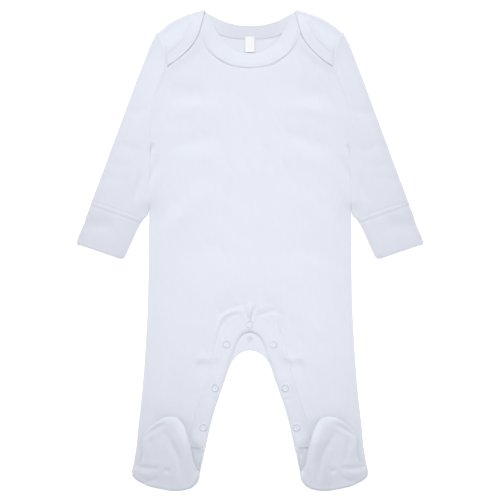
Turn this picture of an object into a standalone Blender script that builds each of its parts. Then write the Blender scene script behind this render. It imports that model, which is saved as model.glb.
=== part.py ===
"""Footed baby sleepsuit of cotton knit, laid flat on its back.

Every piece of cloth is an open sheet, worked out section by section in millimetres and given
its wall by a Solidify modifier. +Z is up, +Y points to the neck, +X is the wearer's left, and
the origin is on the surface that the suit lies on, in the middle of its length and width.
The tables hold the half at +X. A Mirror modifier or a mirrored copy makes the other half.
"""

import bpy
import numpy as np

# ---- Driving dimensions, in millimetres ----------------------------------------------------
MILLIMETRE = 0.001
CLOTH = 1.2                 # thickness of the knit
SEAM_GAP = 0.3              # between two pieces that are sewn edge to edge
ARMHOLE_GAP = 0.4           # the same at the armhole, whose edge curves both ways
LAYER_GAP = 0.6             # between a piece and the sheet that it lies on
EDGE_LOFT = 0.3             # space between front and back at a side seam or a fold
LOFT = 2.4                  # what the space between them grows by away from the seams
LOFT_REACH = 36.0           # distance from a seam at which it has grown fully
STEPS = 2                   # sections from one row of a table to the next
FOLD_STEPS = 4              # flat faces round a folded edge

# The sleeve's head beside a lap shoulder
LAP_RISE_ROWS = (6, 1)      # sections over which the sleeve rises to the lap's height
LAP_RISE_X = (132.0, 104.0) # X over which it rises, towards the armhole

# The folded foot
FOOT_FLAT = (-190.0, -214.0)   # Y over which the leg flattens under the foot
FOOT_FLATNESS = 0.75           # share of the loft that is lost there
FOOT_LIFT = 1.6                # how far the foot springs off the leg at its inner side
FOOT_LIFT_X = (100.0, 74.0)    # X over which it springs up, towards the inner side
FOOT_LIFT_Y = (-199.0, -232.0) # Y over which it springs up, from the toe
SOLE_DOME = 3.3                # height of the sole's crown over the upper
SOLE_RIM = 20.0                # width of the curved rim of that crown
HEEL_RAMP = (-288.0, -269.0)   # Y over which the sole climbs from the heel seam onto the upper

# Snaps and label
SNAP_RADIUS = 4.7
SNAP_HEIGHT = 1.0
SNAP_RIM = 1.5
SNAP_BEVEL = 0.4
SNAP_DISH = 0.45
SOCKET_RADIUS = 3.0
SNAP_SIDES = 14
LABEL_WIDTH = 12.0
LABEL_TOP = 256.5
LABEL_BOTTOM = 236.8
LABEL_THICKNESS = 0.6

# ---- Seam lines, edges and sections --------------------------------------------------------
# A table's first row names its columns. Each row below it is a section, and holds a point,
# x and y in millimetres, for each column.
#
# Armhole seam, from the underarm to the shoulder fold.
ARMHOLE = ((118.8, 122.4), (119.2, 150.0), (114.6, 178.0), (105.2, 204.0),
           (99.7, 220.5), (99.7, 235.5), (103.4, 248.5), (108.7, 259.6))
CHEST_GAPS = 3              # gaps of the armhole that lie beside the chest, below the neckline
FRONT_END = 6.8             # place among the armhole's rows where the front ends, under the lap
LAP_END = 5.32              # place where the lap's cloth ends
SLEEVE_HEAD = 6.75          # place where the sleeve starts, clear of the shoulder fold
SHOULDER_BULGE = 1.5        # how far the shoulder fold bows out between its ends
LAP_EASE = 8.0              # distance from the fold within which a lap takes the layers' height

# Neck bands, from the centre to the shoulder.
FRONT_NECK = (("seam", "edge"),
              ((0.0, 217.6), (0.0, 236.0)),
              ((24.0, 221.6), (17.0, 239.2)),
              ((45.6, 235.2), (31.5, 250.5)),
              ((58.0, 254.5), (41.0, 264.3)),
              ((67.5, 278.5), (50.5, 283.5)))
BACK_NECK = (("seam", "edge"),
             ((0.0, 253.8), (0.0, 269.3)),
             ((18.0, 254.6), (14.0, 270.2)),
             ((36.0, 259.0), (28.5, 273.8)),
             ((54.0, 269.5), (42.0, 280.0)),
             ((69.9, 282.3), (54.2, 286.6)))
# The back neck band goes on along a lap shoulder, from the shoulder fold to the armhole.
LAP = (("seam", "edge"),
       ((69.9, 282.3), (54.2, 286.6)),
       ((73.6, 273.5), (57.4, 272.5)),
       ((78.0, 263.5), (61.2, 258.0)),
       ((84.0, 254.8), (68.2, 246.0)),
       ((89.6, 248.6), (77.5, 235.8)),
       ((94.4, 243.8), (88.0, 226.8)),
       ((98.4, 240.2), (98.6, 220.2)))

# Heel of the back, from the bottom up.
HEEL = (("side", "inner"),
        ((96.0, -289.2), (84.0, -289.4)),
        ((118.0, -284.4), (73.5, -287.2)),
        ((132.5, -278.6), (66.0, -282.6)),
        ((140.2, -272.6), (62.2, -276.4)),
        ((141.8, -267.4), (60.4, -270.0)),
        ((141.2, -263.4), (59.2, -263.4)))
# Ankle of front and back, below the plackets.
ANKLE = (("side", "inner"),
         ((141.2, -263.4), (59.2, -263.4)),
         ((138.6, -250.0), (56.2, -250.0)),
         ((136.4, -237.4), (53.3, -237.4)))
# Leg, from the plackets' ends up to the crotch. The front and the back end at their placket's
# seam, and the placket reaches from there to its edge.
LEG = (("side", "front seam", "front edge", "back seam", "back edge"),
       ((136.2, -235.8), (75.4, -235.8), (53.0, -235.8), (75.4, -235.8), (53.0, -235.8)),
       ((134.2, -215.0), (70.0, -213.0), (48.7, -215.5), (70.6, -214.0), (49.1, -217.5)),
       ((131.8, -192.0), (62.8, -188.0), (42.9, -193.5), (63.6, -190.0), (44.1, -197.5)),
       ((129.0, -166.5), (53.2, -158.5), (34.5, -168.5), (54.5, -163.5), (36.5, -174.0)),
       ((127.0, -143.0), (45.0, -128.5), (27.2, -145.5), (47.5, -148.0), (30.2, -156.6)),
       ((125.8, -124.0), (40.2, -108.0), (22.4, -131.0), (42.0, -132.5), (26.6, -145.6)),
       ((124.8, -106.0), (34.5, -93.0), (18.4, -119.6), (35.5, -119.5), (23.0, -136.4)),
       ((123.8, -90.0), (25.5, -82.5), (13.8, -108.6), (26.0, -108.6), (17.0, -128.0)),
       ((123.0, -76.0), (13.0, -76.2), (8.0, -101.6), (13.5, -101.8), (8.6, -122.3)),
       ((122.6, -62.0), (0.0, -74.4), (0.0, -98.4), (0.0, -99.5), (0.0, -120.4)))
# Torso, from the crotch up to the underarm.
TORSO = (("side", "front center", "back center"),
         ((122.6, -62.0), (0.0, -74.4), (0.0, -99.5)),
         ((122.0, -34.0), (0.0, -38.0), (0.0, -54.0)),
         ((121.6, -6.0), (0.0, -2.0), (0.0, -10.0)),
         ((121.3, 24.0), (0.0, 32.0), (0.0, 30.0)),
         ((121.0, 56.0), (0.0, 64.0), (0.0, 66.0)),
         ((120.2, 90.0), (0.0, 94.0), (0.0, 100.0)),
         ((118.8, 122.4), (0.0, 124.0), (0.0, 132.0)))
# Folded outer edge of the sleeve beside the armhole, from the shoulder to the underarm.
SLEEVE_TOP = ((110.4, 260.0), (116.4, 248.8), (122.6, 234.8), (128.0, 220.6),
              (134.6, 204.0), (144.4, 177.4), (154.8, 149.4), (165.2, 121.4))
# Sleeve below the armhole: its folded outer edge and its underarm seam.
SLEEVE = (("outer", "inner"),
          ((165.2, 121.4), (119.6, 122.0)),
          ((168.4, 112.6), (122.0, 109.5)),
          ((173.6, 98.6), (122.6, 93.0)),
          ((181.0, 78.6), (123.0, 66.0)),
          ((186.2, 64.6), (123.9, 50.0)),
          ((188.0, 59.8), (126.6, 40.0)))
# Cuff, from its seam to its end.
CUFF = (("outer", "inner"),
        ((188.3, 59.0), (127.2, 39.2)),
        ((194.0, 43.8), (135.4, 25.0)),
        ((200.2, 27.2), (142.6, 8.4)),
        ((206.2, 11.4), (149.8, -7.2)),
        ((206.3, 8.0), (152.6, -10.2)),
        ((204.0, 6.2), (155.6, -10.4)))
# Sole, from the toe to the heel.
SOLE = (("outer", "inner"),
        ((100.8, -199.9), (86.4, -200.6)),
        ((110.4, -205.4), (79.8, -205.8)),
        ((120.0, -213.6), (75.4, -216.0)),
        ((127.0, -221.6), (72.0, -226.0)),
        ((129.8, -233.0), (69.0, -237.0)),
        ((129.8, -245.0), (67.2, -249.6)),
        ((131.0, -257.0), (65.8, -260.6)),
        ((134.6, -266.4), (63.8, -269.6)),
        ((136.0, -273.4), (63.6, -276.6)),
        ((123.0, -281.6), (68.4, -282.4)),
        ((102.0, -287.0), (78.6, -287.2)))
UPPER_ROWS = 6              # gaps of the sole's table that the upper lies under, from the toe
UPPER_INSET = 1.2           # how far the upper's edge lies inside the sole's

# Shares of a section's width at which a sheet has its lines of points, side to centre.
FRONT_COLUMNS = (0.0, 0.03, 0.09, 0.19, 0.33, 0.5, 0.64, 0.76, 0.88, 1.0)
BACK_COLUMNS = (0.0, 0.04, 0.14, 0.32, 0.54, 0.77, 1.0)
SLEEVE_COLUMNS = (0.0, 0.08, 0.24, 0.5, 0.76, 0.92, 1.0)
SOLE_COLUMNS = (0.0, 0.07, 0.18, 0.34, 0.5, 0.66, 0.82, 0.93, 1.0)
BAND_COLUMNS = (0.0, 0.5, 1.0)

# Creases of the front above the crotch, and of the sole. The columns are start, end, depth
# below the sheet, which is negative for a ridge, and half width.
FRONT_CREASES = (((39.0, -111.0), (30.0, -90.0), 0.5, 5.0),
                 ((30.0, -90.0), (17.0, -76.0), 0.6, 5.0),
                 ((38.0, -84.0), (21.0, -73.0), -0.5, 5.0),
                 ((5.5, -70.0), (1.5, -86.0), 0.4, 3.5))
SOLE_CREASES = (((102.0, -220.0), (94.0, -230.0), 0.8, 6.0),
                ((94.0, -230.0), (85.0, -256.0), 1.5, 7.0),
                ((85.0, -256.0), (79.0, -276.0), 1.2, 6.0),
                ((132.0, -260.5), (111.0, -261.5), 1.3, 5.0),
                ((122.0, -217.0), (106.0, -208.0), 0.8, 5.0),
                ((80.0, -222.0), (74.0, -258.0), -0.5, 6.0))

# Snap centres on the front placket: name, x and y.
SNAPS = (("center", 0.0, -88.8),
         ("crotch", 28.0, -112.8),
         ("knee", 42.2, -165.2),
         ("ankle", 56.0, -212.8))
SOCKET_Y = -106.6

COLORS = {
    "knit": ((0.80, 0.82, 0.86), 0.9),
    "band": ((0.82, 0.84, 0.88), 0.85),
    "snap": ((0.78, 0.80, 0.84), 0.35),
    "label": ((0.90, 0.90, 0.90), 0.7),
}


# ---- Lines and heights ---------------------------------------------------------------------
def smooth(table, steps=STEPS):
    """Rows of a table with more rows between them, on a Catmull-Rom curve through each column."""
    rows = np.asarray(table, float)
    start, end = rows[:-1], rows[1:]
    after = np.vstack([rows[2:], 2 * rows[-1] - rows[-2]])
    before = np.vstack([2 * rows[0] - rows[1], rows[:-2]])
    result = []
    for step in range(steps):
        t = step / steps
        result.append(0.5 * (2 * start + (end - before) * t
                             + (2 * before - 5 * start + 4 * end - after) * t ** 2
                             + (3 * start - before - 3 * end + after) * t ** 3))
    curve = np.stack(result, axis=1).reshape(-1, rows.shape[1])
    return np.vstack([curve, rows[-1:]])


def lines_of(table, steps=STEPS):
    """The smoothed lines that run down a table's columns, by the names in its first row."""
    names = table[0]
    rows = np.asarray(table[1:], float)
    curve = smooth(rows.reshape(len(rows), -1), steps)
    return dict(zip(names, curve.reshape(len(curve), -1, 2).swapaxes(0, 1)))


def along(points, places):
    """Points of a smoothed line at places counted in the points that it runs through."""
    fine_steps = 16
    line = smooth(points, fine_steps)
    index = np.asarray(places, float) * fine_steps
    order = np.arange(len(line))
    return np.stack([np.interp(index, order, line[:, axis]) for axis in (0, 1)], axis=1)


def distance_to(line, points):
    """Distance in plan from each point to a line of straight pieces."""
    start, end = line[:-1], line[1:]
    run = end - start
    offset = points[..., None, :] - start
    share = np.clip((offset * run).sum(-1) / np.maximum((run ** 2).sum(-1), 1e-9), 0.0, 1.0)
    return np.linalg.norm(offset - share[..., None] * run, axis=-1).min(axis=-1)


def ease(value, low, high):
    """0 up to low, 1 from high, with a soft step between them."""
    t = np.clip((value - low) / (high - low), 0.0, 1.0)
    return t * t * (3.0 - 2.0 * t)


def creased(points, creases):
    """How far a table of creases lowers a sheet: each is a trough with a bell-shaped section."""
    drop = np.zeros(points.shape[:-1])
    for start, end, depth, width in creases:
        away = distance_to(np.array([start, end]), points)
        drop += depth * np.exp(-(away / width) ** 2)
    return drop


def closed_edges():
    """The seams and folds in plan where the back meets the sheet over it."""
    heel, ankle, leg, torso = (lines_of(table, 1) for table in (HEEL, ANKLE, LEG, TORSO))
    sleeve_below, cuff_line = lines_of(SLEEVE, 1), lines_of(CUFF, 1)
    shoulder = np.array([ARMHOLE[-1], LAP[1][0], LAP[1][1]])
    side = np.vstack([heel["side"], leg["side"], torso["side"]])
    inner = np.vstack([ankle["inner"], leg["front edge"][:5]])
    outer_fold = np.vstack([SLEEVE_TOP, sleeve_below["outer"], cuff_line["outer"][:4]])
    underarm = np.vstack([ARMHOLE[:1], sleeve_below["inner"], cuff_line["inner"][:4]])
    return shoulder, side, inner, outer_fold, underarm


CLOSED_EDGES = closed_edges()


def loft(points):
    """Space between the back and the sheet over it: least at the seams and folds."""
    away = np.min([distance_to(line, points) for line in CLOSED_EDGES], axis=0)
    flat = 1.0 - FOOT_FLATNESS * ease(points[..., 1], *FOOT_FLAT)
    return EDGE_LOFT + LOFT * flat * ease(away, 0.0, LOFT_REACH)


def front_bottom(points):
    """Height of the front's lower face over the surface."""
    return CLOTH + loft(points) - creased(points, FRONT_CREASES)


def lap_top(points):
    """Height of the upper face of what lies on the front at the shoulders."""
    return 3.0 * CLOTH + LAYER_GAP + loft(points)


LAP_HEIGHT = 3.0 * CLOTH + LAYER_GAP + EDGE_LOFT
FOLD_RADIUS = LAP_HEIGHT / 2.0


def upper_bottom(points):
    """Height of the foot upper's lower face: on the leg, and sprung off it at the inner side."""
    spring = ease(points[..., 0], *FOOT_LIFT_X) * ease(points[..., 1], *FOOT_LIFT_Y)
    return front_bottom(points) + CLOTH + LAYER_GAP + FOOT_LIFT * spring


def sole_bottom(points, outline):
    """Height of the sole's lower face: a crown over the upper that comes down to the heel seam."""
    inside = np.clip(distance_to(outline, points) / SOLE_RIM, 0.0, 1.0)
    crown = SOLE_DOME * (1.0 - (1.0 - inside) ** 2)
    seat = CLOTH + SEAM_GAP
    climb = ease(points[..., 1], *HEEL_RAMP)
    rest = seat + (upper_bottom(points) + CLOTH + LAYER_GAP - seat) * climb
    share = np.clip(crown / SOLE_DOME, 0.0, 1.0)
    return rest + crown - share * creased(points, SOLE_CREASES)


# ---- Sheets ----------------------------------------------------------------------------------
def across(first, last, columns):
    """Sections from the points of one line to those of another, at the given shares."""
    share = np.asarray(columns)[None, :, None]
    return first[:, None, :] * (1.0 - share) + last[:, None, :] * share


def joined(*stretches):
    """Stretches of sections end to end, without the sections that they share."""
    rows = [stretches[0]]
    for stretch in stretches[1:]:
        shared = np.allclose(rows[-1][-1], stretch[0])
        rows.append(stretch[1:] if shared else stretch)
    return np.concatenate(rows)


def away_from(first, last):
    """Unit direction in plan square to a fold between two points, towards +Y."""
    run = (last - first) / np.linalg.norm(last - first)
    outward = np.array([-run[1], run[0]])
    return outward if outward[1] > 0 else -outward


def trimmed(line, toward, gap):
    """A line moved by a gap toward the points of another."""
    way = toward - line
    return line + way / np.linalg.norm(way, axis=1, keepdims=True) * gap


def raised(plan, height):
    """Points in plan with their heights."""
    height = np.broadcast_to(height, plan.shape[:-1])
    return np.concatenate([plan, height[..., None]], axis=-1)


def turned_over(row, outward, radius):
    """Sections round a folded edge, from the surface up to twice the radius."""
    rows = []
    for step in range(1, FOLD_STEPS):
        angle = np.pi * step / FOLD_STEPS
        rows.append(raised(row + outward * radius * np.sin(angle),
                           radius - radius * np.cos(angle)))
    return np.stack(rows)


def grid_faces(rows, columns, ring=False, closed_from=0, open_columns=()):
    """Corner numbers of a grid's faces. In a ring the last column joins the first, and the open
    columns have faces only from the row where the ring closes."""
    faces = []
    for row in range(rows - 1):
        for column in range(columns if ring else columns - 1):
            if column in open_columns and row < closed_from:
                continue
            after = (column + 1) % columns
            faces.append((row * columns + column, (row + 1) * columns + column,
                          (row + 1) * columns + after, row * columns + after))
    return faces


def make_material(name):
    color, roughness = COLORS[name]
    material = bpy.data.materials.get(name) or bpy.data.materials.new(name)
    material.use_nodes = True
    shader = material.node_tree.nodes["Principled BSDF"]
    shader.inputs["Base Color"].default_value = (*color, 1.0)
    shader.inputs["Roughness"].default_value = roughness
    shader.inputs["Metallic"].default_value = 0.0
    material.diffuse_color = (*color, 1.0)
    return material


def add_sheet(name, points, faces, up, mirror, finish="knit", thickness=CLOTH, flip_x=False):
    """A sheet of cloth. Where up is true its points are the lower face and the wall stands on
    them. Otherwise they are the outer face, and the wall is inside it."""
    vertices = points.reshape(-1, 3) * MILLIMETRE
    if flip_x:
        vertices = vertices * (-1.0, 1.0, 1.0)
        faces = [face[::-1] for face in faces]
    used = sorted({corner for face in faces for corner in face})
    number = {corner: place for place, corner in enumerate(used)}
    mesh = bpy.data.meshes.new(name)
    mesh.from_pydata([tuple(vertices[corner]) for corner in used], [],
                     [tuple(number[corner] for corner in face) for face in faces])
    mesh.shade_smooth()
    mesh.materials.append(make_material(finish))
    piece = bpy.data.objects.new(name, mesh)
    suit.objects.link(piece)
    if mirror:
        modifier = piece.modifiers.new("other half", "MIRROR")
        modifier.merge_threshold = 0.0001
    wall = piece.modifiers.new("cloth", "SOLIDIFY")
    wall.thickness = thickness * MILLIMETRE
    wall.offset = 1.0 if up else -1.0
    return piece


def add_grid(name, points, up, mirror, finish="knit", thickness=CLOTH, flip_x=False):
    """A sheet whose points are a grid of sections."""
    rows, columns = points.shape[:2]
    faces = grid_faces(rows, columns)
    normal = np.cross(points[1, 0] - points[0, 0], points[0, 1] - points[0, 0])
    if (normal[2] > 0) != up:
        faces = [face[::-1] for face in faces]
    return add_sheet(name, points, faces, up, mirror, finish, thickness, flip_x)


# ---- The pieces ------------------------------------------------------------------------------
def front_panel():
    """The front: legs, torso and chest, up to the neck band and the lap shoulders."""
    ankle, leg, neck = lines_of(ANKLE), lines_of(LEG), lines_of(FRONT_NECK)
    torso = lines_of(TORSO, 1)
    armhole = smooth(ARMHOLE)
    armhole[-1] = along(ARMHOLE, [FRONT_END])[0]
    chest_rows = CHEST_GAPS * STEPS
    chest_center = np.linspace(torso["front center"][-1], neck["seam"][0], chest_rows + 1)
    plan = joined(
        across(ankle["side"], ankle["inner"], FRONT_COLUMNS),
        across(leg["side"], leg["front seam"], FRONT_COLUMNS),
        across(torso["side"], torso["front center"], FRONT_COLUMNS),
        across(armhole[:chest_rows + 1], chest_center, FRONT_COLUMNS),
        across(armhole[chest_rows:], neck["seam"], FRONT_COLUMNS))
    add_grid("front_panel", raised(plan, front_bottom(plan)), up=True, mirror=True)


def shoulder_fold():
    """The back's section along the shoulder fold, bowed out, and the way that it faces."""
    outer, inner = np.array([ARMHOLE[-1]]), np.array([LAP[1][0]])
    outward = away_from(outer[0], inner[0])
    bow = SHOULDER_BULGE * np.sin(np.pi * np.asarray(BACK_COLUMNS))[:, None]
    return across(outer, inner, BACK_COLUMNS)[0] + outward * bow, outward


def back_panel():
    """The back: heels, legs, torso and shoulders, turned over the shoulder fold into the laps."""
    heel, ankle, leg, neck = (lines_of(table) for table in (HEEL, ANKLE, LEG, BACK_NECK))
    torso, lap_lines = lines_of(TORSO, 1), lines_of(LAP, 1)
    armhole = smooth(ARMHOLE)
    chest_rows = CHEST_GAPS * STEPS
    chest_center = np.linspace(torso["back center"][-1], neck["seam"][0], chest_rows + 1)
    shoulder = across(armhole[chest_rows:], neck["seam"], BACK_COLUMNS)
    fold, outward = shoulder_fold()
    shoulder[-1] = fold
    plan = joined(
        across(heel["side"], heel["inner"], BACK_COLUMNS),
        across(ankle["side"], ankle["inner"], BACK_COLUMNS),
        across(leg["side"], leg["back seam"], BACK_COLUMNS),
        across(torso["side"], torso["back center"], BACK_COLUMNS),
        across(armhole[:chest_rows + 1], chest_center, BACK_COLUMNS),
        shoulder)
    lap_places = np.linspace(len(ARMHOLE) - 1, LAP_END, len(lap_lines["seam"]))
    lap = across(along(ARMHOLE, lap_places), lap_lines["seam"], BACK_COLUMNS)
    share_of_bow = np.linspace(1.0, 0.0, len(lap))[:, None, None]
    lap += share_of_bow * (fold - lap[0])
    points = np.concatenate([raised(plan, 0.0),
                             turned_over(fold, outward, FOLD_RADIUS),
                             raised(lap, lap_height(lap, fold))])
    add_grid("back_panel", points, up=False, mirror=True)


def lap_height(plan, fold):
    """Height of a lap's upper face: the fold's own height at the fold, then that of the layers."""
    share = ease(distance_to(fold, plan), 0.0, LAP_EASE)
    return LAP_HEIGHT + (lap_top(plan) - LAP_HEIGHT) * share


def band(lines, seam="seam", edge="edge"):
    """Sections of a doubled strip, from its gap at the seam to its free edge."""
    return across(trimmed(lines[seam], lines[edge], SEAM_GAP), lines[edge], BAND_COLUMNS)


def neck_band_front():
    """The doubled strip round the front neckline."""
    plan = band(lines_of(FRONT_NECK))
    add_grid("neck_band_front", raised(plan, front_bottom(plan)), up=True, mirror=True,
             finish="band")


def neck_band_back():
    """The doubled strip along the back neck, over the shoulder folds and down the laps' edges."""
    neck = band(lines_of(BACK_NECK))
    lap = band(lines_of(LAP, 1))
    fold = neck[-1]
    outward = away_from(fold[0], fold[-1])
    points = np.concatenate([raised(neck, 0.0),
                             turned_over(fold, outward, FOLD_RADIUS),
                             raised(lap, lap_height(lap, fold))])
    add_grid("neck_band_back", points, up=False, mirror=True, finish="band")


def plackets():
    """The shaped bands that carry the snaps, round the crotch and down both inner legs."""
    leg = lines_of(LEG)
    plan = band(leg, "front seam", "front edge")
    add_grid("placket_front", raised(plan, front_bottom(plan)), up=True, mirror=True,
             finish="band")
    plan = band(leg, "back seam", "back edge")
    add_grid("placket_back", raised(plan, 0.0), up=False, mirror=True, finish="band")


def side_of(line):
    """Unit directions in plan, a quarter turn to the left of a line, at each of its points."""
    run = np.gradient(line, axis=0)
    run /= np.linalg.norm(run, axis=1, keepdims=True)
    return np.stack([-run[:, 1], run[:, 0]], axis=1)


def tube_rings(outer, inner, top_height):
    """Closed sections of a flattened tube: the upper face from the inner line to the outer edge,
    round the outer fold, the lower face back, and round the inner fold."""
    top = across(inner, outer, SLEEVE_COLUMNS)
    height = top_height(top)
    folds = []
    for line, outward, fold_height in ((outer, side_of(outer), height[:, -1:]),
                                       (inner, -side_of(inner), height[:, :1])):
        radius = fold_height / 2.0
        ring = []
        for step in range(1, FOLD_STEPS):
            angle = np.pi * step / FOLD_STEPS
            ring.append(raised(line + outward * radius * np.sin(angle),
                               (radius + radius * np.cos(angle))[:, 0]))
        folds.append(np.stack(ring, axis=1))
    return np.concatenate([raised(top, height), folds[0],
                           raised(top[:, ::-1], 0.0), folds[1][:, ::-1]], axis=1)


def sleeve(name, flip_x):
    """A sleeve laid flat: one sheet from the armhole of the front round the outer fold to that
    of the back, closed by the seam below the underarm."""
    armhole = smooth(ARMHOLE)[::-1]
    armhole[0] = along(ARMHOLE, [SLEEVE_HEAD])[0]
    armhole = armhole + side_of(armhole) * ARMHOLE_GAP
    below = lines_of(SLEEVE)
    outer = np.vstack([smooth(SLEEVE_TOP), below["outer"][1:]])
    inner = np.vstack([armhole, below["inner"][1:]])
    row_share = ease(np.arange(len(outer)), *LAP_RISE_ROWS)[:, None]

    def top_height(points):
        beside_lap = row_share * ease(points[..., 0], *LAP_RISE_X)
        return 2.0 * CLOTH + loft(points) + beside_lap * (CLOTH + LAYER_GAP)

    rings = tube_rings(outer, inner, top_height)
    rows, columns = rings.shape[:2]
    faces = grid_faces(rows, columns, ring=True, closed_from=len(armhole),
                       open_columns=range(columns - FOLD_STEPS, columns))
    add_sheet(name, rings, faces, up=False, mirror=False, flip_x=flip_x)


def cuff(name, flip_x):
    """The doubled band at a sleeve's end."""
    lines = lines_of(CUFF, 1)
    rings = tube_rings(lines["outer"], lines["inner"], lambda points: 2.0 * CLOTH + loft(points))
    faces = grid_faces(rings.shape[0], rings.shape[1], ring=True)
    add_sheet(name, rings, faces, up=False, mirror=False, finish="band", flip_x=flip_x)


def foot(side, flip_x):
    """A foot folded up onto its leg: the upper lies on the leg, and the sole over the upper."""
    lines = lines_of(SOLE)
    outer, inner = lines["outer"], lines["inner"]
    outline = np.vstack([outer, inner[::-1], outer[:1]])
    plan = across(outer, inner, SOLE_COLUMNS)
    add_grid("sole_" + side, raised(plan, sole_bottom(plan, outline)), up=True, mirror=False,
             flip_x=flip_x)
    upper_rows = UPPER_ROWS * STEPS + 1
    outer, inner = outer[:upper_rows], inner[:upper_rows]
    plan = across(trimmed(outer, inner, UPPER_INSET), trimmed(inner, outer, UPPER_INSET),
                  SOLE_COLUMNS)
    plan[0] -= (0.0, UPPER_INSET)
    add_grid("foot_upper_" + side, raised(plan, upper_bottom(plan)), up=True, mirror=False,
             flip_x=flip_x)


def snap(name, x, y, radius, seat):
    """A ring snap: a turned disc with a raised rim, on the cloth."""
    angles = np.linspace(0.0, 2.0 * np.pi, SNAP_SIDES, endpoint=False)
    circle = np.stack([abs(x) + radius * np.cos(angles), y + radius * np.sin(angles)], axis=1)
    base = max(seat(circle).max(), seat(np.array([[abs(x), y]])).max()) + SEAM_GAP
    rim = radius - SNAP_RIM
    profile = ((0.0, SNAP_DISH), (rim - SNAP_BEVEL, SNAP_DISH), (rim, SNAP_HEIGHT),
               (radius - SNAP_BEVEL, SNAP_HEIGHT), (radius, SNAP_HEIGHT / 2.0),
               (radius, 0.0), (0.0, 0.0))
    mesh = bpy.data.meshes.new(name)
    mesh.from_pydata([(r * MILLIMETRE, 0.0, z * MILLIMETRE) for r, z in profile],
                     [(place, place + 1) for place in range(len(profile) - 1)], [])
    mesh.materials.append(make_material("snap"))
    piece = bpy.data.objects.new(name, mesh)
    piece.location = (x * MILLIMETRE, y * MILLIMETRE, base * MILLIMETRE)
    suit.objects.link(piece)
    turn = piece.modifiers.new("turned", "SCREW")
    turn.steps = turn.render_steps = SNAP_SIDES
    turn.use_merge_vertices = True
    turn.merge_threshold = 0.00001
    return piece


def snaps():
    """Seven snaps on the front placket, and the socket half that shows on the back one."""
    def placket_top(points):
        return front_bottom(points) + CLOTH

    for place, x, y in SNAPS:
        if x == 0.0:
            snap("snap_" + place, x, y, SNAP_RADIUS, placket_top)
            continue
        snap("snap_%s_left" % place, x, y, SNAP_RADIUS, placket_top)
        snap("snap_%s_right" % place, -x, y, SNAP_RADIUS, placket_top)
    snap("snap_socket", 0.0, SOCKET_Y, SOCKET_RADIUS, lambda points: np.full(len(points), CLOTH))


def neck_label():
    """A blank woven tab on the inside of the back neck."""
    half = LABEL_WIDTH / 2.0
    plan = np.array([[(-half, y), (0.0, y), (half, y)] for y in (LABEL_TOP, LABEL_BOTTOM)])
    add_grid("neck_label", raised(plan, CLOTH + SEAM_GAP), up=True, mirror=False,
             finish="label", thickness=LABEL_THICKNESS)


for old in list(bpy.data.objects):
    bpy.data.objects.remove(old, do_unlink=True)
suit = bpy.data.collections.new("footed_baby_sleepsuit")
bpy.context.scene.collection.children.link(suit)

front_panel()
back_panel()
neck_band_front()
neck_band_back()
plackets()
for side, flip_x in (("left", False), ("right", True)):
    sleeve("sleeve_" + side, flip_x)
    cuff("cuff_" + side, flip_x)
    foot(side, flip_x)
snaps()
neck_label()
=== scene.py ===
import bmesh
import bpy
import numpy as np
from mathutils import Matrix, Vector


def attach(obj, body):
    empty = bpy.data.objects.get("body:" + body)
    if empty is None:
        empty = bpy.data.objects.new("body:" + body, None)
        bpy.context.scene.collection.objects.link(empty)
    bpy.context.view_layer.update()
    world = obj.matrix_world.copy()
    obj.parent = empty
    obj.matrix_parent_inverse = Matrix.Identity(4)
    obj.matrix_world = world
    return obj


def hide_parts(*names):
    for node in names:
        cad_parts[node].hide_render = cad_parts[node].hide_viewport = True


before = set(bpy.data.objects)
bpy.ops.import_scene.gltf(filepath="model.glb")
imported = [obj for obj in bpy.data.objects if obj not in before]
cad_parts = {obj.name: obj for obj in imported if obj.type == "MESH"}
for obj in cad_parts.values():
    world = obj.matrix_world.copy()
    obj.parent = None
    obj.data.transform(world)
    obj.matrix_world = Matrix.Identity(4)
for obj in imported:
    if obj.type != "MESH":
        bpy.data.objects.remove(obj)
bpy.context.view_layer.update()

# ---- The table, the room and the camera -------------------------------------------------------
# The suit lies on a plain light table of milky acrylic, so bright that no shadow shows on it. A
# broad soft box stands over its neck and a white room fills in. The camera looks straight down.
TABLE_WIDTH = 8.0
TABLE_DROP = 0.0003           # how far the table's face is under the cloth's
TABLE_COLOR = (0.25, 0.25, 0.25, 1.0)
TABLE_ROUGHNESS = 0.9
TABLE_SHINE = 0.1
TABLE_GLOW = 0.91
TABLE_GLOW_COLOR = (1.0, 1.0, 1.0, 1.0)
ROOM_LIGHT = 0.50
ROOM_TINT = (0.985, 0.975, 1.03, 1.0)
BOX_SIZE = (0.52, 0.67)
BOX_SPREAD = 0.36             # angle of the honeycomb grid over the box, in radians
BOX_AIM = (0.0, 0.04, 0.0)
BOX_TILT = 0.58               # lean of its beam towards the feet, in radians
BOX_TURN = 0.05               # lean of its beam towards the wearer's left
BOX_DISTANCE = 1.4
BOX_POWER = 0.70
CAMERA_LENS = 100.0
CAMERA_HEIGHT = 1.6695
SEEN_WIDTH = 0.6              # width of the view at the suit's level
SEEN_LEVEL = 0.0027           # that level over the table

table_mesh = bpy.data.meshes.new("table")
reach = TABLE_WIDTH / 2
table_mesh.from_pydata([(-reach, -reach, -TABLE_DROP), (reach, -reach, -TABLE_DROP),
                        (reach, reach, -TABLE_DROP), (-reach, reach, -TABLE_DROP)],
                       [], [(0, 1, 2, 3)])
table = bpy.data.objects.new("table", table_mesh)
bpy.context.collection.objects.link(table)
acrylic = bpy.data.materials.new("milky_acrylic")
acrylic.use_nodes = True
milky = acrylic.node_tree.nodes["Principled BSDF"].inputs
milky["Base Color"].default_value = TABLE_COLOR
milky["Roughness"].default_value = TABLE_ROUGHNESS
milky["Specular IOR Level"].default_value = TABLE_SHINE
milky["Emission Color"].default_value = TABLE_GLOW_COLOR
milky["Emission Strength"].default_value = TABLE_GLOW
table_mesh.materials.append(acrylic)

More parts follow.
